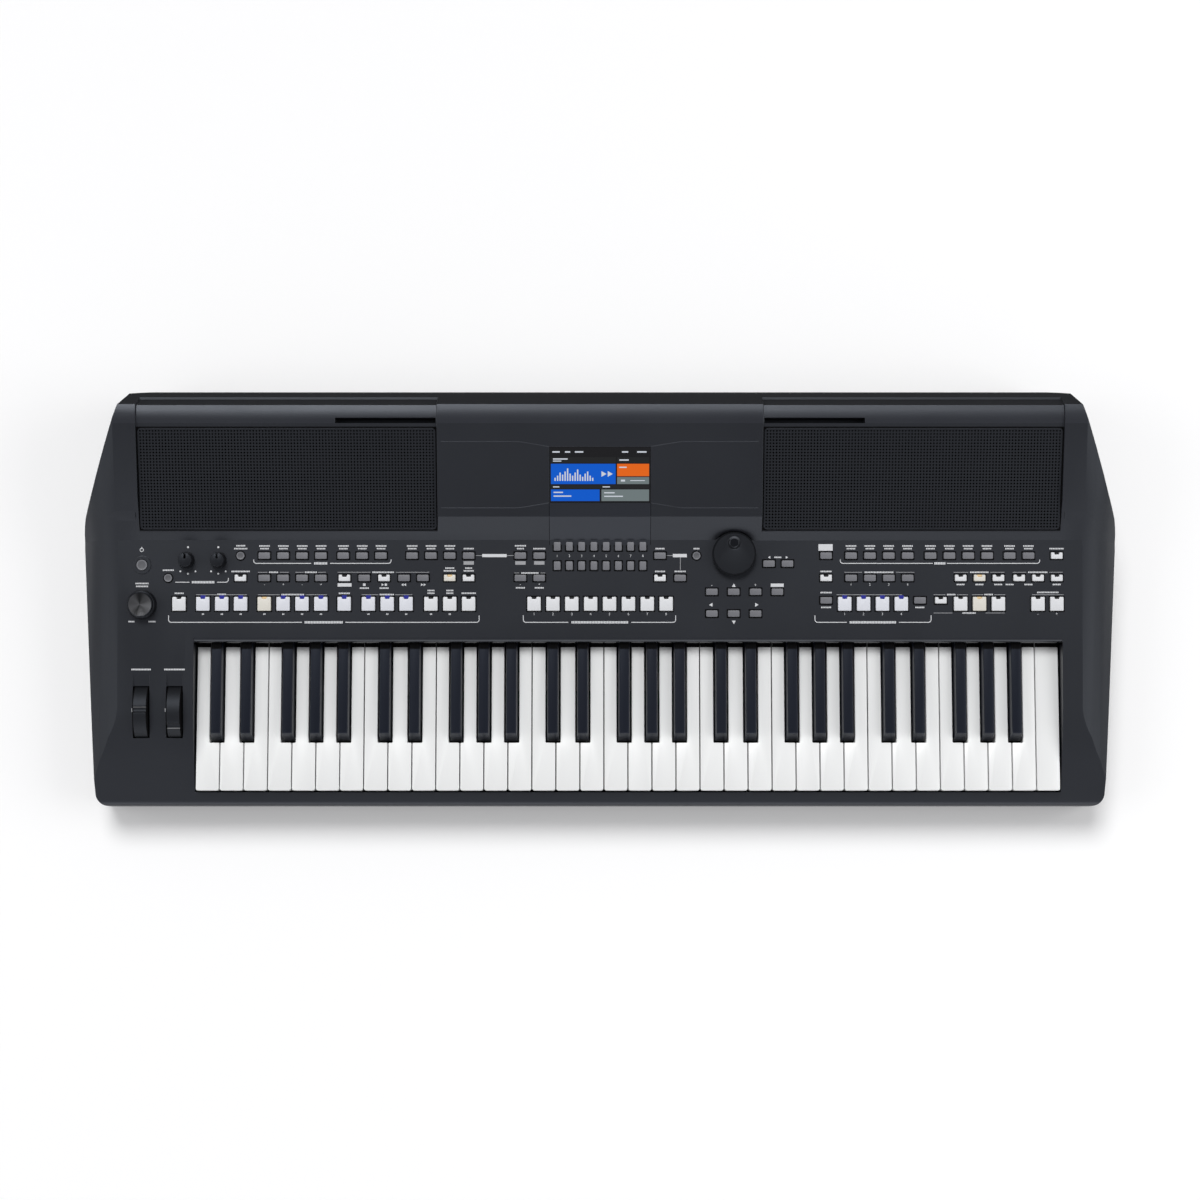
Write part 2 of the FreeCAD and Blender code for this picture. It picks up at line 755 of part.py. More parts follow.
# Wheels and their bracket
wheel_z = panel_height_at(wheel_y) + wheel_proud - wheel_radius
wheel_v = (wheel_y - panel_front_y) / cos_of(panel_tilt)
pad_left = pitch_wheel_x - 12
blocks.append(on_panel(group("wheel_pad", [
    box("wheel_pad_box", pad_left, mod_wheel_x + 12, wheel_v - 42, wheel_v + 42, -8, -1),
])))
dish_radius = (dish_length * dish_length / 4 + dish_depth * dish_depth) / (dish_depth * 2)
for x, word in ((pitch_wheel_x, "pitch"), (mod_wheel_x, "mod")):
    tools.append(fuse(word + "_wheel_opening", [
        on_panel(group(word + "_dish_place", [
            rod(word + "_dish", "x", x - wheel_slot_width / 2, wheel_v, dish_radius - dish_depth,
                dish_radius, wheel_slot_width),
        ])),
        rod(word + "_wheel_slot", "x", x - wheel_slot_width / 2, wheel_y, wheel_z,
            wheel_radius + 1.2, wheel_slot_width),
    ]))
    rim = fuse(word + "_wheel_solid", [
        rod(word + "_wheel_disc", "x", x - wheel_width / 2, wheel_y, wheel_z, wheel_radius, wheel_width),
        rod(word + "_wheel_hub", "x", x - wheel_width / 2 - 1, wheel_y, wheel_z, axle_radius + 3,
            wheel_width + 2),
    ])
    notch_y = wheel_y if word == "pitch" else wheel_y - (wheel_radius + 1.5) * sin_of(32)
    notch_z = wheel_z + wheel_radius + 1.5 if word == "pitch" else wheel_z + (wheel_radius + 1.5) * cos_of(32)
    bores = fuse(word + "_wheel_bores", [
        rod(word + "_wheel_bore", "x", x - wheel_width, wheel_y, wheel_z, axle_radius + rod_play,
            wheel_width * 2),
        rod(word + "_finger_notch", "x", x - wheel_width, notch_y, notch_z, 3.5, wheel_width * 2),
    ])
    wheel = cut(word + "_wheel", rim, bores)
    node("pitch_bend_wheel" if word == "pitch" else "modulation_wheel", wheel)
middle_x = (pitch_wheel_x + mod_wheel_x) / 2
upright = [box("bracket_base", pitch_wheel_x - 13, mod_wheel_x + 13, wheel_y - 22, wheel_y + 22,
    floor_top, floor_top + 3)]
for index, x in enumerate((pitch_wheel_x - wheel_width / 2 - 3, middle_x,
    mod_wheel_x + wheel_width / 2 + 3)):
    upright.append(box("bracket_arm_%d" % index, x - 1.5, x + 1.5, wheel_y - 7, wheel_y + 7,
        floor_top, wheel_z + 6))
upright.append(rod("axle", "x", pitch_wheel_x - wheel_width / 2 - 4, wheel_y, wheel_z, axle_radius,
                   mod_wheel_x - pitch_wheel_x + wheel_width + 8))
node("wheel_bracket", fuse("wheel_bracket_solid", upright))

# Panel controls in panel coordinates: x across, v up the slope, w out of the panel
holes = []
switches = []
lamps = []
under = -(wall + 0.3)
foot_w = under - flange_height
switch_w = foot_w - button_travel - 0.3


def button_group(name, rows, width, length, notched):
    solids = []
    notches = []
    proud = cap_proud
    for number, (first, v, count, pitch) in enumerate(rows):
        for index in range(count):
            tag = "%s_%d_%d" % (name, number, index)
            x = of_width(first) + pitch * index
            left = x - width / 2
            right = x + width / 2
            low = v - length / 2
            high = v + length / 2
            solids.append(box(tag + "_cap", left, right, low, high, under, proud))
            solids.append(box(tag + "_flange", left - flange, right + flange, low - flange,
                high + flange, foot_w, under))
            holes.append(box(tag + "_hole", left - cap_gap, right + cap_gap, low - cap_gap,
                high + cap_gap, -12, 8))
            switches.append(box(tag + "_switch", x - switch_width / 2, x + switch_width / 2, v - 3,
                v + 1, -board_drop, switch_w))
            if notched:
                notches.append(box(tag + "_notch", x - notch_width / 2, x + notch_width / 2,
                                   high - notch_length, high + flange + 1, foot_w - 1, proud + 1))
                lamps.append(box(tag + "_lamp", x - notch_width / 2 + 0.4, x + notch_width / 2 - 0.4,
                                 high - notch_length + 0.4, high, -board_drop, proud - 0.5))
    joined = fuse(name + "_caps", solids)
    if notched:
        joined = cut(name + "_notched", joined, group(name + "_notches", notches))
    return node(name, on_panel(group(name + "_place", [joined])))


column = button_pitch
button_group("style_category_buttons", [(-323.8, row_upper, 4, column), (-323.8, row_middle, 4, column)],
             small_width, small_length, False)
button_group("song_buttons", [
    (-247.7, row_upper, 3, column), (-181.3, row_upper, 4, column),
    (-227.4, row_middle, 1, column), (-189, row_middle, 2, column),
], small_width, small_length, False)
button_group("menu_buttons", [
    (-76.8, row_upper, 2, column), (-76.8, row_middle, 2, column),
    (57.9, row_upper, 1, column), (77.3, row_middle, 1, column),
], small_width, small_length, False)
button_group("voice_category_buttons", [
    (218.1, row_upper, 1, column), (242.2, row_upper, 4, column), (318.9, row_upper, 4, column),
    (395.2, row_upper, 2, column), (242.2, row_middle, 4, column),
    (218.1, row_lower_small, 1, column), (308.6, row_lower_small, 1, column),
], small_width, small_length, False)
button_group("cursor_buttons", [
    (107.9, row_cursor_upper, 4, cursor_pitch), (107.9, row_cursor_lower, 3, cursor_pitch),
    (163, row_step, 2, of_width(17.85)),
], small_width, small_length, False)
button_group("left_switch_buttons", [
    (-346.8, row_middle, 1, column), (-246.5, row_middle, 1, column),
    (-208.3, row_middle, 1, column), (-145, row_middle, 2, column),
], small_width, small_length, True)
button_group("right_switch_buttons", [
    (57.9, row_middle, 1, column), (218.1, row_middle, 1, column), (347.9, row_middle, 3, column),
    (404.3, row_middle, 3, column), (440.6, row_upper, 1, column), (328.7, row_lower_small, 1, column),
], small_width, small_length, True)
button_group("style_control_buttons", [
    (-406, row_lower, 1, column), (-383, row_lower, 3, column), (-323.8, row_lower, 4, column),
    (-246.7, row_lower, 1, column), (-223.4, row_lower, 3, column), (-163.1, row_lower, 3, column),
], large_width, large_length, True)
button_group("registration_buttons", [(-63.6, row_lower, 8, column)], large_width, large_length, True)
button_group("multi_pad_buttons", [(236, row_lower, 4, column)], large_width, large_length, True)
button_group("part_and_octave_buttons", [(347.8, row_lower, 3, column), (422.4, row_lower, 2, column)],
             large_width, large_length, True)
button_group("display_keys", [(-41.3, row_mini_upper, 8, mini_pitch),
    (-41.3, row_mini_lower, 8, mini_pitch)],
             mini_width, mini_length, False)


def round_buttons(name, spots, radius):
    solids = []
    for index, (x, v) in enumerate(spots):
        tag = "%s_%d" % (name, index)
        solids.append(rod(tag + "_cap", "z", x, v, under, radius, cap_proud - under))
        solids.append(rod(tag + "_flange", "z", x, v, foot_w, radius + flange, flange_height))
        holes.append(rod(tag + "_hole", "z", x, v, -12, radius + cap_gap, 20))
        switches.append(box(tag + "_switch", x - switch_width / 2, x + switch_width / 2, v - 3,
            v + 1, -board_drop, switch_w))
    return node(name, on_panel(group(name + "_place", [fuse(name + "_caps", solids)])))


round_spots = [(of_width(-346.8), row_upper), (of_width(-416.6), row_middle), (of_width(93.1), row_upper)]
round_buttons("round_buttons", round_spots, round_radius)
round_buttons("power_button", [(left_knob_x, power_v)], power_radius)
ring = cut("power_ring_solid",
           rod("power_ring_disc", "z", left_knob_x, power_v, -1, power_radius + 3.6, 2.2),
           rod("power_ring_hole", "z", left_knob_x, power_v, -2, power_radius + cap_gap, 6))
power_ring = on_panel(group("power_ring", [ring]))

controls = []


def rotary(name, x, v, solids, cuts):
    """Knob on a shaft that turns in the bush of its control."""
    stem = rod(name + "_stem", "z", x, v, 0.5 - board_drop, shaft_radius, board_drop + 1)
    knob = fuse(name + "_solid", solids + [stem])
    if cuts:
        knob = cut(name + "_shaped", knob, group(name + "_cuts", cuts))
    holes.append(rod(name + "_hole", "z", x, v, -12, shaft_radius + 0.6, 14))
    controls.append(cut(
        name + "_control",
        rod(name + "_control_can", "z", x, v, -board_drop, 8, board_drop - wall),
        rod(name + "_control_bore", "z", x, v, -12, shaft_radius + shaft_play, 14),
    ))
    return node(name, on_panel(group(name + "_place", [knob])))


rotary("master_volume_knob", left_knob_x, volume_v, [
    cone("volume_skirt", left_knob_x, volume_v, 0.5, volume_radius, volume_top_radius + 1, 6),
    rod("volume_body", "z", left_knob_x, volume_v, 0.5, volume_top_radius, volume_height - 0.5),
], [])
for index in range(2):
    x = live_x + live_pitch * index
    rotary("live_knob_%d" % (index + 1), x, live_v, [
        cone("live_body_%d" % index, x, live_v, 0.5, live_radius, live_radius - 1.4, live_height),
    ], [box("live_pointer_%d" % index, x - 0.6, x + 0.6, live_v + 1.5, live_v + 9, live_height,
        live_height + 2)])
rotary("data_dial", dial_x, dial_v, [
    rod("dial_disc", "z", dial_x, dial_v, 0.8, dial_radius, dial_height - 1.8),
    cone("dial_top", dial_x, dial_v, dial_height - 1, dial_radius, dial_radius - 1.4, 1),
], [cone("dial_dimple", dial_x, dial_v + 10.4, dial_height - 2, dimple_radius - 2.2,
    dimple_radius + 0.4, 2.4)])
blocks.append(on_panel(group("dial_well_wall", [
    rod("dial_well_block", "z", dial_x, dial_v, -2, dial_radius + 1 + wall, 24),
])))
dial_well = on_panel(group("dial_well", [rod("dial_well_hole", "z", dial_x, dial_v, 0,
    dial_radius + 1, 40)]))

post_spots = [-425, -300, -178, -30, 70, 255, 385, 452]
post_v = (row_middle + row_lower) / 2 + 3.3
board_posts = []
for index, x in enumerate(post_spots):
    board_posts.append(rod("board_post_%d" % index, "z", of_width(x), post_v, -board_drop, 3,
        board_drop - 1))
blocks.append(on_panel(group("board_posts", board_posts)))
board = box("panel_board_sheet", of_width(-458), of_width(458), row_cursor_lower - 6.3, panel_length - 1.4,
            -board_drop - board_thickness, -board_drop)
node("panel_board", on_panel(group("panel_board_place", [board])))
node("panel_switches", on_panel(group("panel_switch_place", switches)))
node("indicator_lamps", on_panel(group("indicator_lamp_place", lamps)))
node("rotary_controls", on_panel(group("rotary_control_place", controls)))

# Keys
key_left = key_centre_x - white_pitch * 18
low_level = white_top - of_height(15)
levels = (low_level, low_level + rail_step, low_level + rail_step * 2)
sharp_after = {0: -sharp_shift_two, 1: sharp_shift_two, 3: -sharp_shift_three, 4: as_value(0),
    5: sharp_shift_three}
black_rear_y = panel_front_y + 5


def sharp_centre(octave_left, index):
    return octave_left + white_pitch * (index + 1) + sharp_after[index]


def white_neck(octave_left, index, last):
    left = octave_left + white_pitch * index + key_gap / 2
    right = octave_left + white_pitch * (index + 1) - key_gap / 2
    reach = black_width / 2 + black_clearance
    if index - 1 in sharp_after:
        left = sharp_centre(octave_left, index - 1) + reach
    if index in sharp_after and not last:
        right = sharp_centre(octave_left, index) - reach
    return left, right


def rail_with_tails(tag, centres, level, tail_from):
    low = level - rail_height / 2
    high = level + rail_height / 2
    pieces = [box(tag + "_rail", centres[0] - tail_width / 2, centres[-1] + tail_width / 2,
                  pivot_y - rail_depth / 2, pivot_y + rail_depth / 2, low, high)]
    for index, x in enumerate(centres):
        pieces.append(box("%s_tail_%d" % (tag, index), x - tail_width / 2, x + tail_width / 2,
                          tail_from, pivot_y - rail_depth / 2 + 1, low, high))
    return pieces


def pivot_bore(tag, centres, level):
    return rod(tag + "_bore", "x", centres[0] - tail_width, pivot_y, level, rod_radius + rod_play,
               centres[-1] - centres[0] + tail_width * 2)


def white_comb(name, octave, members, level, last):
    octave_left = key_left + white_pitch * 7 * octave
    solids = []
    hollows = []
    centres = []
    head_y = white_front_y + head_length
    low = white_top - white_depth
    for index in members:
        tag = "%s_%d" % (name, index)
        left = octave_left + white_pitch * index + key_gap / 2
        right = left + white_pitch - key_gap
        neck_left, neck_right = white_neck(octave_left, index, last)
        centres.append((neck_left + neck_right) / 2)
        solids.append(box(tag + "_head", left, right, white_front_y, head_y, low, white_top))
        solids.append(box(tag + "_neck", neck_left, neck_right, head_y, body_rear_y, low, white_top))
        hollows.append(box(tag + "_head_hollow", left + key_wall, right - key_wall,
                           white_front_y + key_wall, head_y - key_wall, low - 1, white_top - key_wall))
        hollows.append(box(tag + "_neck_hollow", neck_left + key_wall, neck_right - key_wall,
                           head_y - key_wall, body_rear_y - 8, low - 1, white_top - key_wall))
    solids += rail_with_tails(name, centres, level, body_rear_y - 6)
    hollows.append(pivot_bore(name, centres, level))
    return node(name, cut(name + "_comb", fuse(name + "_solid", solids), fuse(name + "_hollow", hollows)))


def black_comb(name, octave):
    octave_left = key_left + white_pitch * 7 * octave
    solids = []
    hollows = []
    centres = []
    top = white_top + black_rise
    low = white_top - black_sink
    hollow_end = black_rear_y - (black_rear_y - black_front_y) * 0.2432
    for index in sorted(sharp_after):
        tag = "%s_%d" % (name, index)
        x = sharp_centre(octave_left, index)
        centres.append(x)
        wedge = doc.addObject("Part::Wedge", tag + "_cap")
        wedge.Placement = FreeCAD.Placement(FreeCAD.Vector(0, 0, 0),
            FreeCAD.Rotation(FreeCAD.Vector(1, 0, 0), 90))
        for prop, value in (("Xmin", x - black_width / 2), ("Xmax", x + black_width / 2),
                            ("X2min", x - black_top_width / 2), ("X2max", x + black_top_width / 2),
                            ("Ymin", low), ("Ymax", top),
                            ("Zmin", -black_rear_y), ("Zmax", -black_front_y),
                            ("Z2min", -black_rear_y), ("Z2max", -black_front_y - black_slope)):
            setattr(wedge, prop, value.number)
            bind(wedge, prop, value)
        solids.append(wedge)
        hollow_half = black_top_width / 2 - key_wall / 2
        hollows.append(box(tag + "_hollow", x - hollow_half, x + hollow_half,
                           black_front_y + black_slope + 2, hollow_end, low - 1, top - 3))
    level = levels[2]
    solids += rail_with_tails(name, centres, level, hollow_end + 4)
    hollows.append(pivot_bore(name, centres, level))
    return node(name, cut(name + "_comb", fuse(name + "_solid", solids), fuse(name + "_hollow", hollows)))


for octave in range(5):
    white_comb("octave_%d_outer_white_keys" % (octave + 1), octave, (0, 2, 4, 6), levels[1], False)
    white_comb("octave_%d_inner_white_keys" % (octave + 1), octave, (1, 3, 5), levels[0], False)
    black_comb("octave_%d_black_keys" % (octave + 1), octave)
white_comb("top_white_key", 5, (0,), levels[1], True)

# Key chassis, rods, felt and contacts
key_right = key_left + white_pitch * 36
edge = support_thickness / 2
chassis = [
    box("chassis_plate", key_left - edge, key_right + edge, white_front_y + 5, pivot_y + 10,
        chassis_height - 3, chassis_height),
    box("chassis_front", key_left - edge, key_right + edge, white_front_y + 5, white_front_y + 15,
        chassis_height, chassis_height + 3),
]
rod_holes = []
for index, place_number in enumerate((0, 7, 14, 21, 28, 35, 36)):
    x = key_left + white_pitch * place_number
    chassis.append(box("chassis_support_%d" % index, x - edge, x + edge, pivot_y - 7, pivot_y + 10,
        chassis_height - 3, levels[2] + 6))
    chassis.append(box("chassis_leg_%d" % index, x - edge, x + edge, white_front_y + 12,
        pivot_y + 8, floor_top, chassis_height - 3))
pivot_rods = []
for index, level in enumerate(levels):
    rod_holes.append(rod("rod_hole_%d" % index, "x", key_left - 10, pivot_y, level, rod_radius,
        key_right - key_left + 20))
    pivot_rods.append(rod("pivot_rod_%d" % index, "x", key_left - edge, pivot_y, level, rod_radius,
        key_right - key_left + edge * 2))
node("key_chassis", cut("key_chassis_drilled", fuse("key_chassis_solid", chassis),
    group("rod_holes", rod_holes)))
node("key_pivot_rods", group("pivot_rod_group", pivot_rods))
node("key_felt", box("key_felt_strip", key_left, key_right, white_front_y + 6, white_front_y + 14,
    chassis_height + 3, chassis_height + 5.5))
contact_top = chassis_height + board_thickness
node("key_contact_board", box("contact_sheet", key_left, key_right, panel_front_y - 56, panel_front_y - 11,
                              chassis_height, contact_top))
rubbers = []
for octave in range(5):
    x = key_left + white_pitch * 7 * octave
    rubbers.append(box("rubber_%d" % octave, x + 1, x + white_pitch * 7 - 1,
                       panel_front_y - 43, panel_front_y - 25, contact_top, contact_top + 6))
node("key_contact_rubber", group("rubber_group", rubbers))

# Rear sockets
plate_in = jack_plate_y - wall
blocks.append(box("jack_block", jack_left - wall, jack_right + wall, plate_in, half_depth + 10,
    jack_low - wall, jack_high + wall))
jack_recess = box("jack_recess", jack_left, jack_right, jack_plate_y, half_depth + 20, jack_low, jack_high)
jack_holes = []
jacks = []
body_low = jack_axis - 7.5
for index, x in enumerate((100, 140, 165, 235, 260)):
    tag = "jack_%d" % index
    x = of_width(x)
    solid = fuse(tag + "_solid", [
        box(tag + "_body", x - 7.5, x + 7.5, plate_in - jack_depth, plate_in, body_low, jack_axis + 7.5),
        rod(tag + "_bush", "y", x, plate_in, jack_axis, jack_bush / 2, wall + 2.5),
        rod(tag + "_nut", "y", x, jack_plate_y, jack_axis, jack_nut / 2, 1.8),
    ])
    jacks.append(cut(tag, solid, rod(tag + "_bore", "y", x, plate_in - jack_depth + 3, jack_axis,
        jack_bore / 2, jack_depth + 20)))
    jack_holes.append(rod(tag + "_hole", "y", x, plate_in - 1, jack_axis, jack_bush / 2 + 0.2, wall + 2))
node("phone_jacks", group("phone_jack_group", jacks))
line_x = of_width(200)
line_jack = cut("line_jack", fuse("line_jack_solid", [
    box("line_body", line_x - 6, line_x + 6, plate_in - 14, plate_in, body_low, jack_axis + 5),
    rod("line_bush", "y", line_x, plate_in, jack_axis, 3.5, wall + 0.8),
]), rod("line_hole", "y", line_x, plate_in - 12, jack_axis, line_bore / 2, 30))
jack_holes.append(rod("line_panel_hole", "y", line_x, plate_in - 1, jack_axis, 3.7, wall + 2))
usb_wide = of_width(295)
usb_square = of_width(325)
wide_shell = cut("usb_wide_shell",
                 box("usb_wide_body", usb_wide - 7.2, usb_wide + 7.2, plate_in - 16,
                     jack_plate_y + 0.4, body_low, body_low + 7.2),
                 box("usb_wide_mouth", usb_wide - 6.3, usb_wide + 6.3, plate_in - 12,
                     jack_plate_y + 5, body_low + 1, body_low + 6.2))
wide_socket = fuse("usb_wide_socket", [
    wide_shell,
    box("usb_wide_tongue", usb_wide - 5.5, usb_wide + 5.5, plate_in - 13, jack_plate_y - 1,
        body_low + 3.6, body_low + 5.4),
])
square_shell = cut("usb_square_shell",
                   box("usb_square_body", usb_square - 6, usb_square + 6, plate_in - 16,
                       jack_plate_y + 0.4, body_low, body_low + 11),
                   box("usb_square_mouth", usb_square - 4.4, usb_square + 4.4, plate_in - 12,
                       jack_plate_y + 5, body_low + 1.6, body_low + 9.4))
square_socket = fuse("usb_square_socket", [
    square_shell,
    box("usb_square_tongue", usb_square - 2.8, usb_square + 2.8, plate_in - 13, jack_plate_y - 1,
        body_low + 4, body_low + 7),
])
jack_holes.append(box("usb_wide_hole", usb_wide - 7.4, usb_wide + 7.4, plate_in - 1,
    jack_plate_y + 1, body_low - 0.2, body_low + 7.4))
jack_holes.append(box("usb_square_hole", usb_square - 6.2, usb_square + 6.2, plate_in - 1,
    jack_plate_y + 1, body_low - 0.2, body_low + 11.2))
power_x = of_width(360)
inlet = cut("inlet_shell", fuse("inlet_solid", [
    box("inlet_body", power_x - 7, power_x + 7, plate_in - 14, plate_in, body_low, jack_axis + 6.5),
    rod("inlet_bush", "y", power_x, plate_in, jack_axis, 5.4, wall),
]), rod("inlet_bore", "y", power_x, plate_in - 9, jack_axis, power_bore / 2, 30))
inlet = fuse("inlet_with_pin", [inlet, rod("inlet_pin", "y", power_x, plate_in - 10, jack_axis, 1,
    wall + 8)])
node("small_sockets", group("small_socket_group", [line_jack, wide_socket, square_socket, inlet]))
jack_holes.append(rod("inlet_hole", "y", power_x, plate_in - 1, jack_axis, 5.6, wall + 2))
node("jack_board", box("jack_sheet", jack_left + 5, jack_right - 5, plate_in - 30, plate_in,
    body_low - board_thickness, body_low))

# Fasteners and feet
screw_spots = [(of_width(x), 7 - half_depth) for x in (-380, -120, 150, 420)]
screw_spots += [(of_width(x), half_depth - 25) for x in (-420, -30, 420)]
screw_spots += [((case_width / 2 - 24.5) * side, waist_y - 38) for side in (-1, 1)]
columns = []
screw_tools = []
pilot_tools = []
screws = []
head_seat = floor_top + 3
for index, (x, y) in enumerate(screw_spots):
    tag = "screw_%d" % index
    blocks.append(rod(tag + "_post", "z", x, y, parting_height, boss_radius, 60))
    columns.append(rod(tag + "_column", "z", x, y, floor_top, boss_radius, parting_height - floor_top))
    pilot_tools.append(rod(tag + "_pilot", "z", x, y, parting_height - 1, screw_radius,
        head_seat + screw_length - parting_height + 2))
    screw_tools.append(fuse(tag + "_way", [
        rod(tag + "_clear", "z", x, y, 0, screw_radius + 0.3, parting_height + 5),
        rod(tag + "_counterbore", "z", x, y, 0, screw_head + 0.3, head_seat),
    ]))
    screws.append(fuse(tag + "_solid", [
        rod(tag + "_head", "z", x, y, head_seat - 2.4, screw_head, 2.4),
        rod(tag + "_shank", "z", x, y, head_seat - 1, screw_radius, screw_length + 1),
    ]))
node("case_screws", group("case_screw_group", screws))
foot_spots = [((case_width / 2 - 62.5) * side, 45 - half_depth) for side in (-1, 0, 1)]
foot_spots += [((case_width / 2 - 62.5) * side, half_depth - 55) for side in (-1, 0, 1)]
feet = []
for index, (x, y) in enumerate(foot_spots):
    feet.append(rod("foot_%d" % index, "z", x, y, 0, foot_radius, foot_height + foot_seat))
    screw_tools.append(rod("foot_seat_%d" % index, "z", x, y, 0, foot_radius + 0.1,
        foot_height + foot_seat))
node("rubber_feet", group("rubber_foot_group", feet))

# Main board on posts of the bottom case
board_z = floor_top + 11
board_rear = half_depth - 40
main_spots = [(x, y) for y in (board_rear - 100, board_rear - 5) for x in (-145, 115)]
for index, (x, y) in enumerate(main_spots):
    columns.append(rod("main_post_%d" % index, "z", x, y, floor_top, 4, 11))
node("main_board", fuse("main_board_solid", [
    box("main_sheet", -150, 120, board_rear - 105, board_rear, board_z, board_z + board_thickness),
    box("main_processor", -60, -30, board_rear - 70, board_rear - 40, board_z + 1, board_z + 4),
    box("main_memory", -10, 10, board_rear - 65, board_rear - 53, board_z + 1, board_z + 3),
    box("amplifier_heat_sink", 50, 110, board_rear - 35, board_rear - 13, board_z + 1, board_z + 22),
]))

# Top case
upper_space = box("upper_space", -case_width, case_width, -case_depth, case_depth, parting_height, sky)
top_outer = common("top_outer", [outer, upper_space])
cavity = cut("cavity", inner, fuse("thick_places", blocks))
top_shell = cut("top_shell", top_outer, cavity)
top_shell = cut("top_recessed", top_shell, group("recess_pair", recesses))
top_shell = cut("top_slotted", top_shell, key_slot)
top_shell = cut("top_lipped", top_shell, lip_corner)
top_shell = cut("top_opened", top_shell, group("top_tools", tools))
top_shell = cut("top_dialled", top_shell, dial_well)
top_shell = cut("top_pierced", top_shell, on_panel(group("panel_holes", holes)))
top_shell = cut("top_backed", top_shell, jack_recess)
top_shell = cut("top_drilled", top_shell, group("rear_and_pilot_holes", jack_holes + pilot_tools))
node("top_case", fuse("top_ringed", [top_shell, power_ring]))

# Bottom case
lower_space = box("lower_space", -case_width, case_width, -case_depth, case_depth, foot_height,
    parting_height)
base_outer = common("base_outer", [full_block, plan_block("plan_base", base_inset), lower_space])
base_room = box("base_room", -case_width, case_width, -case_depth, case_depth, floor_top,
    parting_height + 1)
base_cavity = cut("base_cavity", common("base_inner", [inner, base_room]), fuse("base_columns", columns))
base_shell = cut("base_shell", base_outer, base_cavity)
node("bottom_case", cut("base_drilled", base_shell, fuse("base_holes", screw_tools)))

doc.recompute()
for thing in doc.Objects:
    if "Invalid" in thing.State or "Error" in thing.State:
        raise RuntimeError("%s could not be built" % thing.Name)
for thing in nodes:
    if thing.Shape.isNull() or not thing.Shape.isValid() or not thing.Shape.Solids:
        raise RuntimeError("%s has no valid solid" % thing.Label)
os.makedirs("parts", exist_ok=True)
for thing in nodes:
    thing.Shape.exportStep("parts/%s.step" % thing.Label)
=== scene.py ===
# %% [markdown]
# # Arranger keyboard
# The construction model arrives as named solids in metres: X to the player's right, Y to the
# rear, Z up, with the floor at Z = 0. This lesson dresses those solids: it keeps every piece
# where the construction puts it, softens the edges that a mould would soften, and adds the
# printed marks, the perforated speaker covers and the picture on the display.

# %% Load the solids
import json
import math
import bpy
from mathutils import Matrix, Vector

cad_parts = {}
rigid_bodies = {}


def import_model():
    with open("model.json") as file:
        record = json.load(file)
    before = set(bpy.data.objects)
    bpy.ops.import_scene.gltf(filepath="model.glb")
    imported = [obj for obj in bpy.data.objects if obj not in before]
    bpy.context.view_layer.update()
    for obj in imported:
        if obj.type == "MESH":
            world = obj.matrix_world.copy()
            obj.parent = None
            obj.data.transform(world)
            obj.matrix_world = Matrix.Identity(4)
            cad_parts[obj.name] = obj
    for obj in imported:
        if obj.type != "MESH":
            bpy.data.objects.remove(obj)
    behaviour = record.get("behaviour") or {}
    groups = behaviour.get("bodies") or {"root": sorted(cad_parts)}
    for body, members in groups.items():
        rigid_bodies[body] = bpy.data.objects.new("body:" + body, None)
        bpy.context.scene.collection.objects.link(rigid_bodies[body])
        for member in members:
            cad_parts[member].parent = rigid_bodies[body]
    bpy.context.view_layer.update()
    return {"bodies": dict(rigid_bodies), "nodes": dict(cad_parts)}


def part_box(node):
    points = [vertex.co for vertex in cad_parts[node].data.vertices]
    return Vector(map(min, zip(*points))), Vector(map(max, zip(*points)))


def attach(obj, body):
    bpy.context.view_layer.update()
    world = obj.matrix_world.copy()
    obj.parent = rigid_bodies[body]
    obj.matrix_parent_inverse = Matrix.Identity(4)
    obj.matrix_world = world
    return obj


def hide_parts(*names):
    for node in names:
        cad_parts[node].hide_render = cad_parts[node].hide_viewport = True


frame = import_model()
MM = 0.001

# %% [markdown]
# ## The camera first
# The photograph looks almost straight down, from six degrees in front of upright and two and a
# half metres away. Setting the camera before anything else means that every later test render can
# be laid over the photograph. The focal length follows from the width of the case in the picture.

# %% Camera
CAMERA_PLACE = (0, -0.26728, 2.55630)
CAMERA_TILT = 6
FOCAL_LENGTH = 77.206
bpy.ops.object.camera_add(location=CAMERA_PLACE, rotation=(math.radians(CAMERA_TILT), 0, 0))
camera = bpy.context.object
camera.name = "studio_camera"
camera.data.sensor_width = 36
camera.data.lens = FOCAL_LENGTH
camera.data.clip_end = 50
bpy.context.scene.camera = camera
bpy.context.scene.view_settings.view_transform = "Standard"
print("camera at", tuple(camera.location))

# %% [markdown]
# ## Working planes
# The control panel, the step behind it, the deck and the speaker baffles each slope differently.
# Pieces on them are easiest to draw flat, as on a workbench, with X across, Y up the slope and Z
# out of the surface. A matrix for each slope then carries the flat drawing to its place, and the
# transform is applied so that the finished object sits at the origin.

# %% Slopes of the case
def slope(y, z, tilt):
    return Matrix.Translation((0, y * MM, z * MM)) @ Matrix.Rotation(math.radians(tilt), 4, "X")


STEP_TOP, DECK_TILT = 70.7, 16.3
PANEL = slope(-49.0218, 83.3367, 5)
RISER = slope(50, 92, 36.11)
DECK = slope(STEP_TOP, 107.1, DECK_TILT)
BAFFLE = slope(57.5, 97.471, 17.7)
TO_PANEL = PANEL.inverted()


def pick(piece):
    bpy.ops.object.select_all(action="DESELECT")
    bpy.context.view_layer.objects.active = piece
    piece.select_set(True)


def end_edit():
    bpy.ops.object.mode_set(mode="OBJECT")


def settle(piece, plane):
    """Carries a piece that was drawn flat to its slope and leaves its object at the origin."""
    pick(piece)
    bpy.ops.object.transform_apply()
    piece.matrix_world = plane
    bpy.ops.object.transform_apply()
    return piece


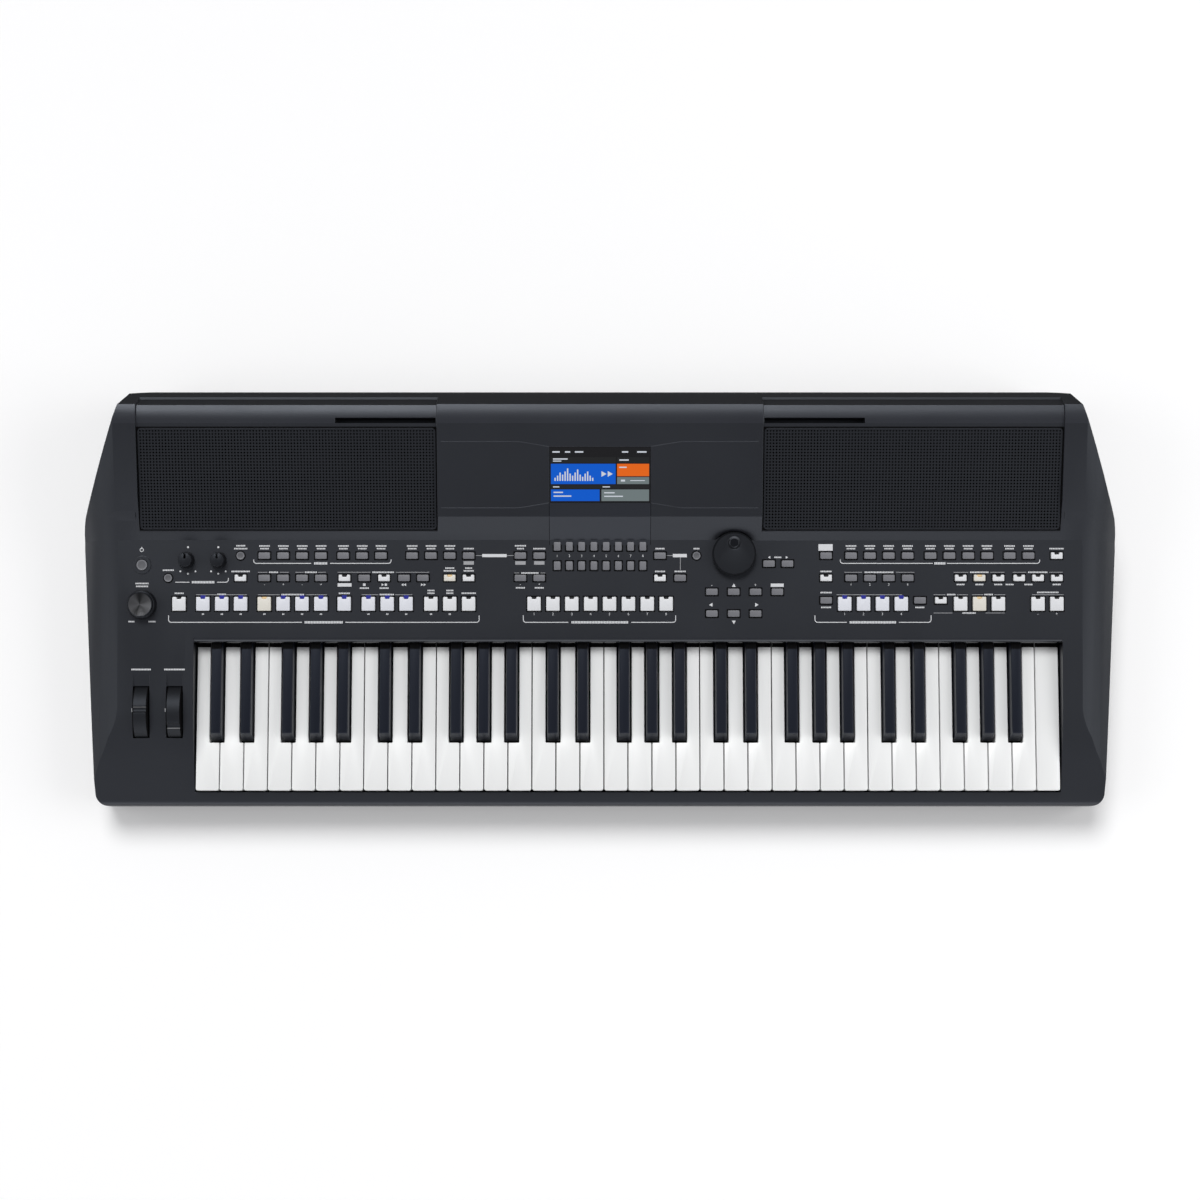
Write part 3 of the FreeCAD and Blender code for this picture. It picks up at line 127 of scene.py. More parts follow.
def clear_choice(piece, kind):
    """Picks a piece and leaves nothing in it selected; points, edges or faces can be chosen next."""
    pick(piece)
    bpy.ops.object.mode_set(mode="EDIT")
    bpy.ops.mesh.select_mode(type=kind)
    bpy.ops.mesh.select_all(action="DESELECT")
    end_edit()


def choose_faces(piece, wanted):
    """Opens a piece for editing with only the wanted faces selected."""
    clear_choice(piece, "FACE")
    for face in piece.data.polygons:
        face.select = wanted(face)
    bpy.ops.object.mode_set(mode="EDIT")


def choose_points(piece, wanted):
    """Opens a piece for editing with only the wanted points selected."""
    clear_choice(piece, "VERT")
    for point in piece.data.vertices:
        point.select = wanted(point.co)
    bpy.ops.object.mode_set(mode="EDIT")


def round_uprights(piece, radius, steps, wanted):
    """Rounds the upright edges of a piece, those whose two ends the test accepts."""
    clear_choice(piece, "EDGE")
    points = piece.data.vertices
    for edge in piece.data.edges:
        low, high = (points[index].co for index in edge.vertices)
        upright = abs(low.x - high.x) < 0.01 * MM and abs(low.z - high.z) > 3 * abs(low.y - high.y)
        edge.select = upright and wanted(low, high)
    bpy.ops.object.mode_set(mode="EDIT")
    bpy.ops.mesh.bevel(affect="EDGES", offset=radius * MM, segments=steps)
    end_edit()


print("panel normal:", tuple(round(v, 3) for v in PANEL.col[2][:3]))

# %% [markdown]
# ## Shader arithmetic
# A finish is a network of nodes. Written as Python, `0.4 + grain * 0.1` is easier to read than
# the two Math nodes that it stands for, so one small class wraps a socket and turns operators
# into nodes. Everything that isn't arithmetic goes through its `node` method.

# %% Sockets that do sums
class Wire:
    """One output socket of a finish."""

    def __init__(self, tree, end):
        self.tree = tree
        self.end = end

    def node(self, kind, settings, values, output=0):
        made = self.tree.nodes.new(kind)
        for name, value in settings.items():
            if name == "stops":
                ramp = made.color_ramp.elements
                while len(ramp) < len(value):
                    ramp.new(0.5)
                for element, (position, colour) in zip(ramp, value):
                    element.position = position
                    element.color = colour
            else:
                setattr(made, name, value)
        for name, value in values.items():
            if isinstance(value, Wire):
                self.tree.links.new(value.end, made.inputs[name])
            else:
                made.inputs[name].default_value = value
        return Wire(self.tree, made.outputs[output])

    def sum(self, operation, first, second):
        return self.node("ShaderNodeMath", {"operation": operation}, {0: first, 1: second})

    def __add__(self, other):
        return self.sum("ADD", self, other)

    def __radd__(self, other):
        return self.sum("ADD", other, self)

    def __sub__(self, other):
        return self.sum("SUBTRACT", self, other)

    def __mul__(self, other):
        return self.sum("MULTIPLY", self, other)

    def mix(self, low, high):
        """A colour between two, by this value."""
        return self.node("ShaderNodeMix", {"data_type": "RGBA"}, {0: self, 6: low, 7: high}, 2)

    def noise(self, scale, detail=2.0):
        return self.node("ShaderNodeTexNoise", {}, {"Vector": self, "Scale": scale, "Detail": detail})

    def into(self, skin, name):
        self.tree.links.new(self.end, skin.inputs[name])


def opaque(colour, share=1.0):
    """A colour with full alpha, dimmed or brightened by a share."""
    return tuple(part * share for part in colour) + (1.0,)


def start_finish(name, **constants):
    """A new finish, its Principled shader and the wire of object coordinates."""
    finish = bpy.data.materials.new(name)
    finish.use_nodes = True
    tree = finish.node_tree
    skin = tree.nodes["Principled BSDF"]
    for key, value in constants.items():
        skin.inputs[key.replace("_", " ")].default_value = value
    place = tree.nodes.new("ShaderNodeTexCoord")
    return finish, skin, Wire(tree, place.outputs["Object"])


print("finishes are written as sums")

# %% [markdown]
# ## Moulded plastic
# Nearly everything on the case is injection-moulded plastic. Its tool is spark-eroded, which
# leaves a fine even grain, and the gloss drifts a little from place to place. Two noises give
# that: a very fine one as bump, and a broad one that shifts colour and roughness slightly.

# %% Finishes of the mouldings
def moulded(name, colour, rough, grain=2200.0, depth=0.05, drift=0.12, **constants):
    finish, skin, place = start_finish(name, **constants)
    broad = place.noise(9.0, 3.0)
    fine = place.noise(grain, 2.0)
    broad.mix(opaque(colour, 1 - drift), opaque(colour, 1 + drift)).into(skin, "Base Color")
    (rough + (broad - 0.5) * 0.12 + (fine - 0.5) * 0.06).into(skin, "Roughness")
    relief = {"Strength": depth, "Distance": 0.0004, "Height": fine}
    place.node("ShaderNodeBump", {}, relief).into(skin, "Normal")
    return finish


SATIN = {"Specular_IOR_Level": 0.45, "Specular_Tint": (0.84, 0.90, 1.0, 1.0)}
SHEEN = {"Specular_IOR_Level": 0.3, "Specular_Tint": (0.80, 0.87, 1.0, 1.0)}
CASE = moulded("case_charcoal_plastic", (0.0085, 0.0091, 0.0116), 0.42, **SATIN)
# Painted highlight: the ridge is the case plastic painted lighter, for the band of light along its top.
RIDGE_PAINTED_HIGHLIGHT = moulded("ridge_satin_painted_highlight_plastic", (0.0165, 0.0174, 0.0218), 0.4, **SATIN)
# Painted light: the rear wall is the case plastic painted lighter, for the light that falls on it, with its
# reflection nearly off.
REAR_PAINTED_LIGHT = moulded("rear_wall_painted_light_plastic", (0.0175, 0.0182, 0.0205), 0.9, 900.0, 0.2, Specular_IOR_Level=0.03)
BASE = moulded("base_black_plastic", (0.008, 0.008, 0.009), 0.6, 1500.0, 0.12)
KNOB = moulded("knob_black_plastic", (0.0042, 0.0044, 0.0054), 0.42, **SHEEN)
WHEEL = moulded("wheel_rubber_coat", (0.0045, 0.0047, 0.0056), 0.5, 3000.0, 0.08, **SHEEN)
GREY_CAP = moulded("grey_button_plastic", (0.150, 0.152, 0.168), 0.45)
GREY_DISH = moulded("grey_button_dish", (0.085, 0.087, 0.096), 0.5)
WHITE_CAP = moulded("white_button_plastic", (0.70, 0.71, 0.73), 0.4, drift=0.02)
BLUE_CAP = moulded("white_button_lit_blue", (0.69, 0.705, 0.755), 0.4, drift=0.02)
WARM_CAP = moulded("white_button_lit_amber", (0.70, 0.675, 0.61), 0.4, drift=0.02)
# Painted shade: this black goes where the button wells, the gaps round the covers and the wheel slots lie in
# shade; it also draws the dark seams beside the apron.
SHADE_AND_SEAM_BLACK = moulded("painted_shade_and_seam_black", (0.0014, 0.0014, 0.0017), 0.9, Specular_IOR_Level=0.1)
# Painted shade on the key tops where they pass under the panel lip.
LIP_SHADE_BLACK = moulded("key_rear_painted_shade", (0.0016, 0.0016, 0.0018), 0.95, 900.0, 0.4, Specular_IOR_Level=0.1)
NOTCH = moulded("wheel_notch_grey", (0.070, 0.071, 0.074), 0.5)
RUBBER = moulded("foot_rubber", (0.012, 0.012, 0.012), 0.75, 1200.0, 0.2)
SOCKET = moulded("socket_black_plastic", (0.012, 0.012, 0.013), 0.4)
CHASSIS = moulded("chassis_dark_plastic", (0.022, 0.022, 0.024), 0.6)
FELT = moulded("key_stop_felt", (0.10, 0.012, 0.014), 0.95, 900.0, 0.5)
BOARD = moulded("circuit_board_lacquer", (0.02, 0.085, 0.035), 0.35, 500.0, 0.1)
SWITCH = moulded("switch_plastic", (0.05, 0.05, 0.052), 0.5)
CONTACT = moulded("contact_rubber", (0.30, 0.29, 0.27), 0.7, 900.0, 0.1)
PAINT = moulded("printed_white", (0.62, 0.63, 0.65), 0.55, drift=0.03)
FAINT = moulded("printed_grey", (0.32, 0.325, 0.34), 0.55, drift=0.03)
PERFORATED = moulded("perforated_grille_lacquer", (0.0076, 0.0080, 0.0095), 0.52, 1800.0, 0.1, **SHEEN)
GLOSS = moulded("glossy_black_plastic", (0.0060, 0.0064, 0.0080), 0.14, 3000.0, 0.01, **SATIN)
CONE = moulded("speaker_paper_cone", (0.008, 0.008, 0.008), 0.85, 700.0, 0.4)
print("moulded finishes:", len([m for m in bpy.data.materials if m.name.endswith("plastic")]))

# %% [markdown]
# ## Key plastics
# White keys are moulded in a bright glossy plastic and black keys in a satin one. Both are
# denser and smoother than the case, so the grain is almost gone. On the white ones a thin coat
# carries the reflection of the studio lights.

# %% Finishes of the keys
WHITE_KEY = moulded("white_key_plastic", (0.85, 0.858, 0.852), 0.3, 4000.0, 0.01, 0.012,
                    Coat_Weight=0.2, Coat_Roughness=0.15)
BLACK_KEY = moulded("black_key_plastic", (0.0050, 0.0064, 0.0120), 0.36, 2600.0, 0.04, 0.1, **SHEEN)
print("key finishes:", WHITE_KEY.name, BLACK_KEY.name)

# %% [markdown]
# ## Metal and light
# The volume knob has a spun metal top: a lathe leaves rings in it, and rings stretch a highlight
# into a bow tie. That bow tie is a painted highlight: the colour follows the angle about the axis,
# and a ring-shaped wave as bump gives the rings. Lamps and the display give light of their own, so
# they get an emission colour at about the level of a lit surface.

# %% Finishes of metal, glass and lamps
def metal(name, colour, rough, centre=None):
    finish, skin, place = start_finish(name, Metallic=1.0)
    speck = place.noise(1500.0, 2.0)
    (rough + (speck - 0.5) * 0.1).into(skin, "Roughness")
    if not centre:
        speck.mix(opaque(colour, 0.92), opaque(colour)).into(skin, "Base Color")
    else:
        offset = {"Vector": place, "Location": [-part for part in centre]}
        moved = place.node("ShaderNodeMapping", {}, offset)
        across = moved.node("ShaderNodeSeparateXYZ", {}, {0: moved}, 0)
        along = moved.node("ShaderNodeSeparateXYZ", {}, {0: moved}, 1)
        angle = moved.sum("ARCTAN2", along, across)
        # A painted highlight: the colour brightens in a bow tie about the knob's axis.
        bow = moved.node("ShaderNodeMath", {"operation": "COSINE"}, {0: angle * 2 + 0.35})
        streak = moved.node("ShaderNodeMath", {"operation": "COSINE"}, {0: angle * 5 + 1.1})
        painted_bow_tie = 0.5 + bow * 0.34 + streak * 0.14
        painted_bow_tie.mix(opaque(colour, 0.25), opaque(colour, 2.2)).into(skin, "Base Color")
        settings = {"wave_type": "RINGS", "rings_direction": "Z"}
        turning = {"Vector": moved, "Scale": 900.0, "Distortion": 0.0}
        rings = moved.node("ShaderNodeTexWave", settings, turning)
        relief = {"Strength": 0.2, "Distance": 0.0001, "Height": rings}
        place.node("ShaderNodeBump", {}, relief).into(skin, "Normal")
    return finish


def glowing(name, colour, strength, body=(0.02, 0.02, 0.02), rough=0.25, **constants):
    finish, skin, place = start_finish(name, Emission_Strength=strength, Roughness=rough, **constants)
    grain = place.noise(1600.0, 1.0)
    grain.mix(opaque(colour, 0.94), opaque(colour)).into(skin, "Emission Color")
    grain.mix(opaque(body), opaque(body, 0.9)).into(skin, "Base Color")
    return finish


STEEL = metal("steel", (0.55, 0.55, 0.56), 0.35)
VOLUME_X, VOLUME_V, VOLUME_TALL = -441.9, 37.0, 13.0
volume_centre = PANEL @ (Vector((VOLUME_X, VOLUME_V, VOLUME_TALL)) * MM)
SPUN = metal("spun_knob_top", (0.062, 0.063, 0.066), 0.34, volume_centre)
LAMP_OFF = moulded("lamp_lens_off", (0.012, 0.012, 0.014), 0.3)
LAMP_BLUE = glowing("lamp_lens_blue", (0.005, 0.010, 0.25), 1.0)
LAMP_AMBER = glowing("lamp_lens_amber", (0.86, 0.62, 0.33), 0.9)
GLASS = moulded("display_black_glass", (0.004, 0.004, 0.005), 0.12, 4000.0, 0.0)
print("lamps:", LAMP_BLUE.name, LAMP_AMBER.name)

# %% [markdown]
# ## Dressing the solids
# A solid whose shape is already right only needs a finish on its slot. The glass of the display is
# dressed this way, and so are inner pieces such as boards, because they show only through gaps.

# %% Finishes on the inner and lower solids
plain = {
    "bottom_case": BASE, "case_screws": STEEL, "display_module": SOCKET, "jack_board": BOARD,
    "key_chassis": CHASSIS, "key_contact_board": BOARD, "key_contact_rubber": CONTACT,
    "key_felt": FELT, "key_pivot_rods": STEEL, "main_board": BOARD, "panel_board": BOARD,
    "panel_switches": SWITCH, "rotary_controls": STEEL, "rubber_feet": RUBBER,
    "small_sockets": SOCKET, "phone_jacks": SOCKET, "tweeters": CONE, "woofers": CONE,
    "wheel_bracket": CHASSIS, "display_window": GLASS,
}
for name, finish in plain.items():
    for place in frame["nodes"][name].material_slots:
        place.material = finish
print("dressed solids:", len(plain))

# %% [markdown]
# ## Copies with softened edges
# Mould edges are never knife-sharp: a small radius catches a line of light, and that line is what
# makes a button or key look real. The solids stay untouched, so each such piece is a copy: its
# loose triangles are merged, flat areas are joined into single faces, and a bevel rounds every
# edge sharper than the given angle.

# %% Copy, merge and round
def body_of(name):
    return name + "_body" if name + "_body" in frame["bodies"] else "case"


def copy_of(name, title, finish):
    piece = bpy.data.objects.new(title, frame["nodes"][name].data.copy())
    bpy.context.collection.objects.link(piece)
    pick(piece)
    piece.data.materials.clear()
    piece.data.materials.append(finish)
    bpy.ops.mesh.customdata_custom_splitnormals_clear()
    bpy.ops.object.mode_set(mode="EDIT")
    bpy.ops.mesh.select_all(action="SELECT")
    bpy.ops.mesh.remove_doubles(threshold=0.00001)
    bpy.ops.mesh.dissolve_limited(angle_limit=math.radians(0.5))
    end_edit()
    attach(piece, body_of(name))
    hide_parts(name)
    return piece


def soften(piece, radius, steps=2, angle=50):
    pick(piece)
    edge = piece.modifiers.new("soft_edges", "BEVEL")
    edge.width = radius * MM
    edge.segments = steps
    edge.limit_method = "ANGLE"
    edge.angle_limit = math.radians(angle)
    edge.use_clamp_overlap = False
    bpy.ops.object.modifier_apply(modifier=edge.name)
    bpy.ops.object.shade_smooth_by_angle(angle=math.radians(35))
    return piece


print("copies are ready to be made")

# %% [markdown]
# ## Top case
# The moulding rolls over into its cheeks in small steps, which smooth shading turns into one
# curve, while the crease and the step behind the panel stay crisp. Beside the speakers that step
# fades into a longer ramp: the step's face is cut at the end of the bay, and the points along its
# top slide rearwards up the deck, less and less towards the flank. Openings and outer edges get a
# fine radius. The rim around each speaker opening is too narrow for its two radii, so its face is
# taken out here, and flat strips beside the covers take its place.

# %% Ramps beside the speakers
BAY_END = 443.5
INNER_WALLS_BELOW = 85
RAMP_PART = 4.825
RAMP_ENDS = (494, 485, 476, 467)
shell = copy_of("top_case", "top_shell", CASE)
step_lean = RISER.col[2].y
for side in (-1, 1):
    choose_faces(shell, lambda face: abs(face.normal.y - step_lean) < 0.01 and abs(face.normal.x) < 0.01)
    bpy.ops.mesh.bisect(plane_co=(side * BAY_END * MM, 0, 0), plane_no=(1, 0, 0))
    end_edit()
for index, ramp_end in enumerate(RAMP_ENDS):
    line = STEP_TOP + index * RAMP_PART
    choose_points(shell, lambda point: BAY_END - 0.1 < abs(point.x) / MM < ramp_end
                  and abs(point.y / MM - line) < 0.05 and point.z > INNER_WALLS_BELOW * MM)
    rise = RAMP_PART * math.tan(math.radians(DECK_TILT))
    bpy.ops.transform.translate(value=(0, RAMP_PART * MM, rise * MM))
    end_edit()
print("ramp length:", len(RAMP_ENDS) * RAMP_PART)

# %% Edges of the top case
RIM_START, RIM_END = 157, 443
soften(shell, 0.4, 2, 60)
to_baffle = BAFFLE.inverted()
choose_faces(shell, lambda face: len(face.vertices) > 4 and face.center.y > STEP_TOP * MM
             and RIM_START * MM < abs(face.center.x) < RIM_END * MM
             and abs((to_baffle @ face.center).z) < 0.3 * MM)
print("rim faces taken out:", len([face for face in shell.data.polygons if face.select]))
bpy.ops.mesh.delete(type="ONLY_FACE")
end_edit()
bpy.ops.object.shade_smooth_by_angle(angle=math.radians(13))


def beside_bay(point):
    high = point.z > INNER_WALLS_BELOW * MM
    return abs(point.x) > (BAY_END + 0.2) * MM and 35 * MM < point.y < 100 * MM and high


points = shell.data.vertices
for edge in shell.data.edges:
    first, last = (points[index].co for index in edge.vertices)
    runs_across = abs(first.x - last.x) > abs(first.y - last.y)
    if runs_across and beside_bay(first) and beside_bay(last):
        edge.use_edge_sharp = False
print("faces of the top case:", len(shell.data.polygons))

# %% Finishes of the top case
RIDGE_FOOT, RIDGE_LOW = 152, 125
LIP_END, LIP_FRONT, LIP_REAR, LIP_LOW = 447, -62, -40, 66
for finish in (REAR_PAINTED_LIGHT, RIDGE_PAINTED_HIGHLIGHT, GLOSS):
    shell.data.materials.append(finish)
for face in shell.data.polygons:
    x, y, z = face.center / MM
    on_lip = abs(x) < LIP_END and LIP_FRONT < y < LIP_REAR and z > LIP_LOW
    # Faces that look rearwards get the painted light.
    if face.normal.y > 0.6:
        face.material_index = 1
    # The flat top of the ridge gets its painted highlight.
    elif y > RIDGE_FOOT and z > RIDGE_LOW and face.normal.z > 0.9:
        face.material_index = 2
    elif on_lip and face.normal.y < -0.3:
        face.material_index = 3
print("faces on the lip:", len([face for face in shell.data.polygons if face.material_index == 3]))

# %% [markdown]
# ## Keys
# Sixty-one keys hang in combs: in every octave the outer whites, the inner whites and the blacks
# each share a rail. White and black heads get a radius of about a millimetre. Where the keys pass
# under the panel their tops are painted black, a painted shade under the lip, so that no bright strip shows
# there.

# %% Key combs
WHITE_SHADE_FROM, BLACK_SHADE_FROM = -51.6, -54.2
key_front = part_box("top_white_key")[0][1]


def paint_shade_under_lip(comb, line):
    """Paints shade: blackens the top of every key behind a line across the comb, under the panel lip."""
    choose_faces(comb, lambda face: True)
    bpy.ops.mesh.bisect(plane_co=(0, line * MM, 0), plane_no=(0, 1, 0))
    end_edit()
    comb.data.materials.append(LIP_SHADE_BLACK)
    for face in comb.data.polygons:
        if face.center.y > line * MM and face.normal.z > 0.3:
            face.material_index = 1
    return comb


def white_comb(name, title):
    comb = copy_of(name, title, WHITE_KEY)
    round_uprights(comb, 2.0, 3, lambda low, high: abs(low.y - key_front) < 0.05 * MM)
    return paint_shade_under_lip(soften(comb, 0.85), WHITE_SHADE_FROM)


for octave in range(1, 6):
    white_comb("octave_%d_outer_white_keys" % octave, "octave_%d_outer_whites" % octave)
    white_comb("octave_%d_inner_white_keys" % octave, "octave_%d_inner_whites" % octave)
    blacks = copy_of("octave_%d_black_keys" % octave, "octave_%d_blacks" % octave, BLACK_KEY)
    paint_shade_under_lip(soften(blacks, 0.9, 3, 60), BLACK_SHADE_FROM)
white_comb("top_white_key", "top_white")

# %% [markdown]
# ## Buttons
# Caps come in white and grey. White caps have a notch at the rear edge with a lamp in it. A lit
# lamp also tints its cap, so caps over a lamp that is on get a second finish, chosen by place.

# %% Button caps
BUTTON_PITCH = 18.2
LOW_ROW, MIDDLE_ROW, TOP_ROW = 37.7, 62.7, 84.2
TINT_X, TINT_V = 7.0, 8.5


def tint(piece, spots, finish):
    """Gives the faces near the stated places (x and v in mm) another finish."""
    piece.data.materials.append(finish)
    index = len(piece.data.materials) - 1
    for face in piece.data.polygons:
        flat = TO_PANEL @ face.center / MM
        for x, v in spots:
            if abs(flat.x - x) < TINT_X and abs(flat.y - v) < TINT_V:
                face.material_index = index


def row_of(first, count, pitch=BUTTON_PITCH):
    return [first + pitch * index for index in range(count)]


PROUD = 2.2
wells = []


def note_wells(piece):
    """Remembers the outline of every cap in a piece, as bars on the panel."""
    for face in piece.data.polygons:
        corners = [TO_PANEL @ piece.data.vertices[index].co / MM for index in face.vertices]
        if all(abs(corner.z - PROUD) < 0.02 for corner in corners):
            across = [corner.x for corner in corners]
            along = [corner.y for corner in corners]
            wells.append(((min(across) + max(across)) / 2, (min(along) + max(along)) / 2,
                          max(across) - min(across), max(along) - min(along)))


def cap_set(name, finish, corner, edge):
    caps = copy_of(name, name.replace("_buttons", "") + "_caps", finish)
    note_wells(caps)
    round_uprights(caps, corner, 3, lambda low, high: max(low.z, high.z) > 0.07)
    return soften(caps, edge, 3)


blue_rows = row_of(-383, 3) + row_of(-305.6, 3) + [-246.7] + row_of(-223.4, 3) + row_of(236, 4)
blue_spots = [(x, LOW_ROW) for x in blue_rows]
amber_spots = [(-323.8, LOW_ROW), (366, LOW_ROW), (-145, MIDDLE_ROW), (366.1, MIDDLE_ROW)]
white_sets = ("style_control", "registration", "multi_pad", "part_and_octave", "left_switch", "right_switch")
for name in white_sets:
    caps = cap_set(name + "_buttons", WHITE_CAP, 0.8, 0.7)
    tint(caps, blue_spots, BLUE_CAP)
    tint(caps, amber_spots, WARM_CAP)
for name in ("style_category", "song", "menu", "voice_category", "cursor"):
    cap_set(name + "_buttons", GREY_CAP, 1.0, 0.5)
cap_set("display_keys", GREY_CAP, 1.0, 0.5)
print("lit caps:", len(blue_spots) + len(amber_spots), "wells:", len(wells))

# %% Lamps in the notches
lamps = copy_of("indicator_lamps", "lamp_lenses", LAMP_OFF)
tint(lamps, blue_spots, LAMP_BLUE)
tint(lamps, amber_spots, LAMP_AMBER)
print("lamp faces:", len(lamps.data.polygons))

# %% [markdown]
# ## Round buttons
# The round caps have a shallow dish with a fine rim. The flat top is found by its height above
# the panel, then inset and pushed down a little.

# %% Dished round caps
def dish_tops(piece, height, margin, depth, inside):
    choose_faces(piece, lambda face: abs((TO_PANEL @ face.center).z - height * MM) < 0.02 * MM)
    bpy.ops.mesh.inset(thickness=margin * MM, depth=-depth * MM, use_individual=True)
    end_edit()
    piece.data.materials.append(inside)
    for face in piece.data.polygons:
        if face.select:
            face.material_index = 1
    return piece


for name, title, margin in (("round_buttons", "round_caps", 1.1), ("power_button", "power_cap", 1.3)):
    dished = dish_tops(copy_of(name, title, GREY_CAP), PROUD, margin, 0.35, GREY_DISH)
    soften(dished, 0.25, 2, 40)
print("round caps dished")

# %% [markdown]
# ## Wheels, dial and small knobs
# These keep the turned shapes of the solids. Rounding their rims is enough to make the light
# run along them. The dial's finish darkens beyond a set distance from the axis. Each wheel's tyre
# is cut near its sides, which get painted shade for the dark slot, and the faces of its thumb notch
# get a paler grey. The volume knob is dished like the round caps, with spun metal inside.

# %% Dark rim of the dial
DIAL_X, DIAL_V, DIAL_TALL, DIAL_RIM = 129.2, 85.9, 9.0, 19.4
DIAL_TOP, DIAL_SKIRT = (0.0046, 0.0048, 0.0057), (0.001, 0.001, 0.0012)
DIAL = moulded("dial_black_plastic", DIAL_TOP, 0.42, **SHEEN)
dial_axis = PANEL @ (Vector((DIAL_X, DIAL_V, DIAL_TALL)) * MM)
dial_tree = DIAL.node_tree
dial_skin = dial_tree.nodes["Principled BSDF"]
spread = Wire(dial_tree, dial_tree.nodes["Texture Coordinate"].outputs["Object"])
spread = spread.node("ShaderNodeVectorMath", {"operation": "DISTANCE"}, {0: spread, 1: dial_axis}, 1)
beyond_rim = spread.sum("GREATER_THAN", spread, DIAL_RIM * MM)
beyond_rim.mix(opaque(DIAL_TOP), opaque(DIAL_SKIRT)).into(dial_skin, "Base Color")
(0.42 + beyond_rim * 0.5).into(dial_skin, "Roughness")
print("dial rim from", DIAL_RIM, "mm")

# %% Turned controls
PITCH_X, MODULATION_X = -442.6, -410.4
TYRE_HALF, NOTCH_REACH = 6.1, 3.6
DIMPLE_V, DIMPLE_RADIUS = 98.4, 5.5
for name, title, finish, slot in (
    ("pitch_bend_wheel", "pitch_wheel_tyre", WHEEL, "wheel"),
    ("modulation_wheel", "modulation_wheel_tyre", WHEEL, "wheel"),
    ("data_dial", "data_dial_disc", DIAL, "knob"),
    ("live_knob_1", "live_knob_1_body", KNOB, "knob"),
    ("live_knob_2", "live_knob_2_body", KNOB, "knob"),
):
    soften(copy_of(name, title, finish), 0.5, 3, 40)
for title, x, notch_y, notch_z, low_y, high_y in (
    ("pitch_wheel_tyre", PITCH_X, -113.5, 88.2, -111.6, -100.0),
    ("modulation_wheel_tyre", MODULATION_X, -130.2, 83.4, -140.0, -130.6),
):
    tyre = bpy.data.objects[title]
    for side in (-1, 1):
        choose_faces(tyre, lambda face: True)
        bpy.ops.mesh.bisect(plane_co=((x + side * TYRE_HALF) * MM, 0, 0), plane_no=(1, 0, 0))
        end_edit()
    tyre.data.materials.append(SHADE_AND_SEAM_BLACK)
    tyre.data.materials.append(NOTCH)
    for face in tyre.data.polygons:
        reach = math.hypot(face.center.y - notch_y * MM, face.center.z - notch_z * MM)
        # Painted shade: the tyre's sides, down in the slot, get the black.
        if abs(face.center.x - x * MM) > TYRE_HALF * MM:
            face.material_index = 1
        elif reach < NOTCH_REACH * MM and low_y * MM < face.center.y < high_y * MM:
            face.material_index = 2
    print(title, "notch faces:", len([face for face in tyre.data.polygons if face.material_index == 2]))
dial = bpy.data.objects["data_dial_disc"]
dial.data.materials.append(GLOSS)
for face in dial.data.polygons:
    flat = TO_PANEL @ face.center / MM
    if math.hypot(flat.x - DIAL_X, flat.y - DIMPLE_V) < DIMPLE_RADIUS and flat.z > 5:
        face.material_index = 1
volume = copy_of("master_volume_knob", "volume_knob_body", KNOB)
dish_tops(volume, VOLUME_TALL, 0.9, 0.25, SPUN)
soften(volume, 0.5, 3, 60)
print("turned controls softened")

# %% [markdown]
# ## Drawing flat work
# Printed marks and the picture on the display are flat. Bars are planes, arrows are circles with
# three corners, numbers are text turned into mesh. A label is too small to read here, so it's a
# grid whose cells are inset and kept, which leaves a row of blocks. A layer is drawn in one edit
# session, and a solidify modifier gives it the thickness of a coat of ink. Fine lines are paths of
# points, turned into curves with a round section that is then flattened.

# %% Bars, arrows, numbers and lines
def blank_layer(title):
    """An object without any points yet, open for editing."""
    bpy.ops.mesh.primitive_plane_add(size=MM, location=(0, 0, 0))
    bpy.context.object.name = title
    bpy.ops.object.mode_set(mode="EDIT")
    bpy.ops.mesh.select_mode(type="VERT")
    bpy.ops.mesh.delete(type="VERT")
    return bpy.context.object


def lay(layer, finish, plane):
    """Gives a flat drawing its finish and carries it to its slope on the case."""
    layer.data.materials.clear()
    layer.data.materials.append(finish)
    settle(layer, plane)
    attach(layer, "case")
    return layer


def inset_all(thickness):
    """Insets every face by itself and leaves the inner parts selected."""
    bpy.ops.mesh.select_mode(type="FACE")
    bpy.ops.mesh.select_all(action="SELECT")
    bpy.ops.mesh.inset(thickness=thickness * MM, use_individual=True)


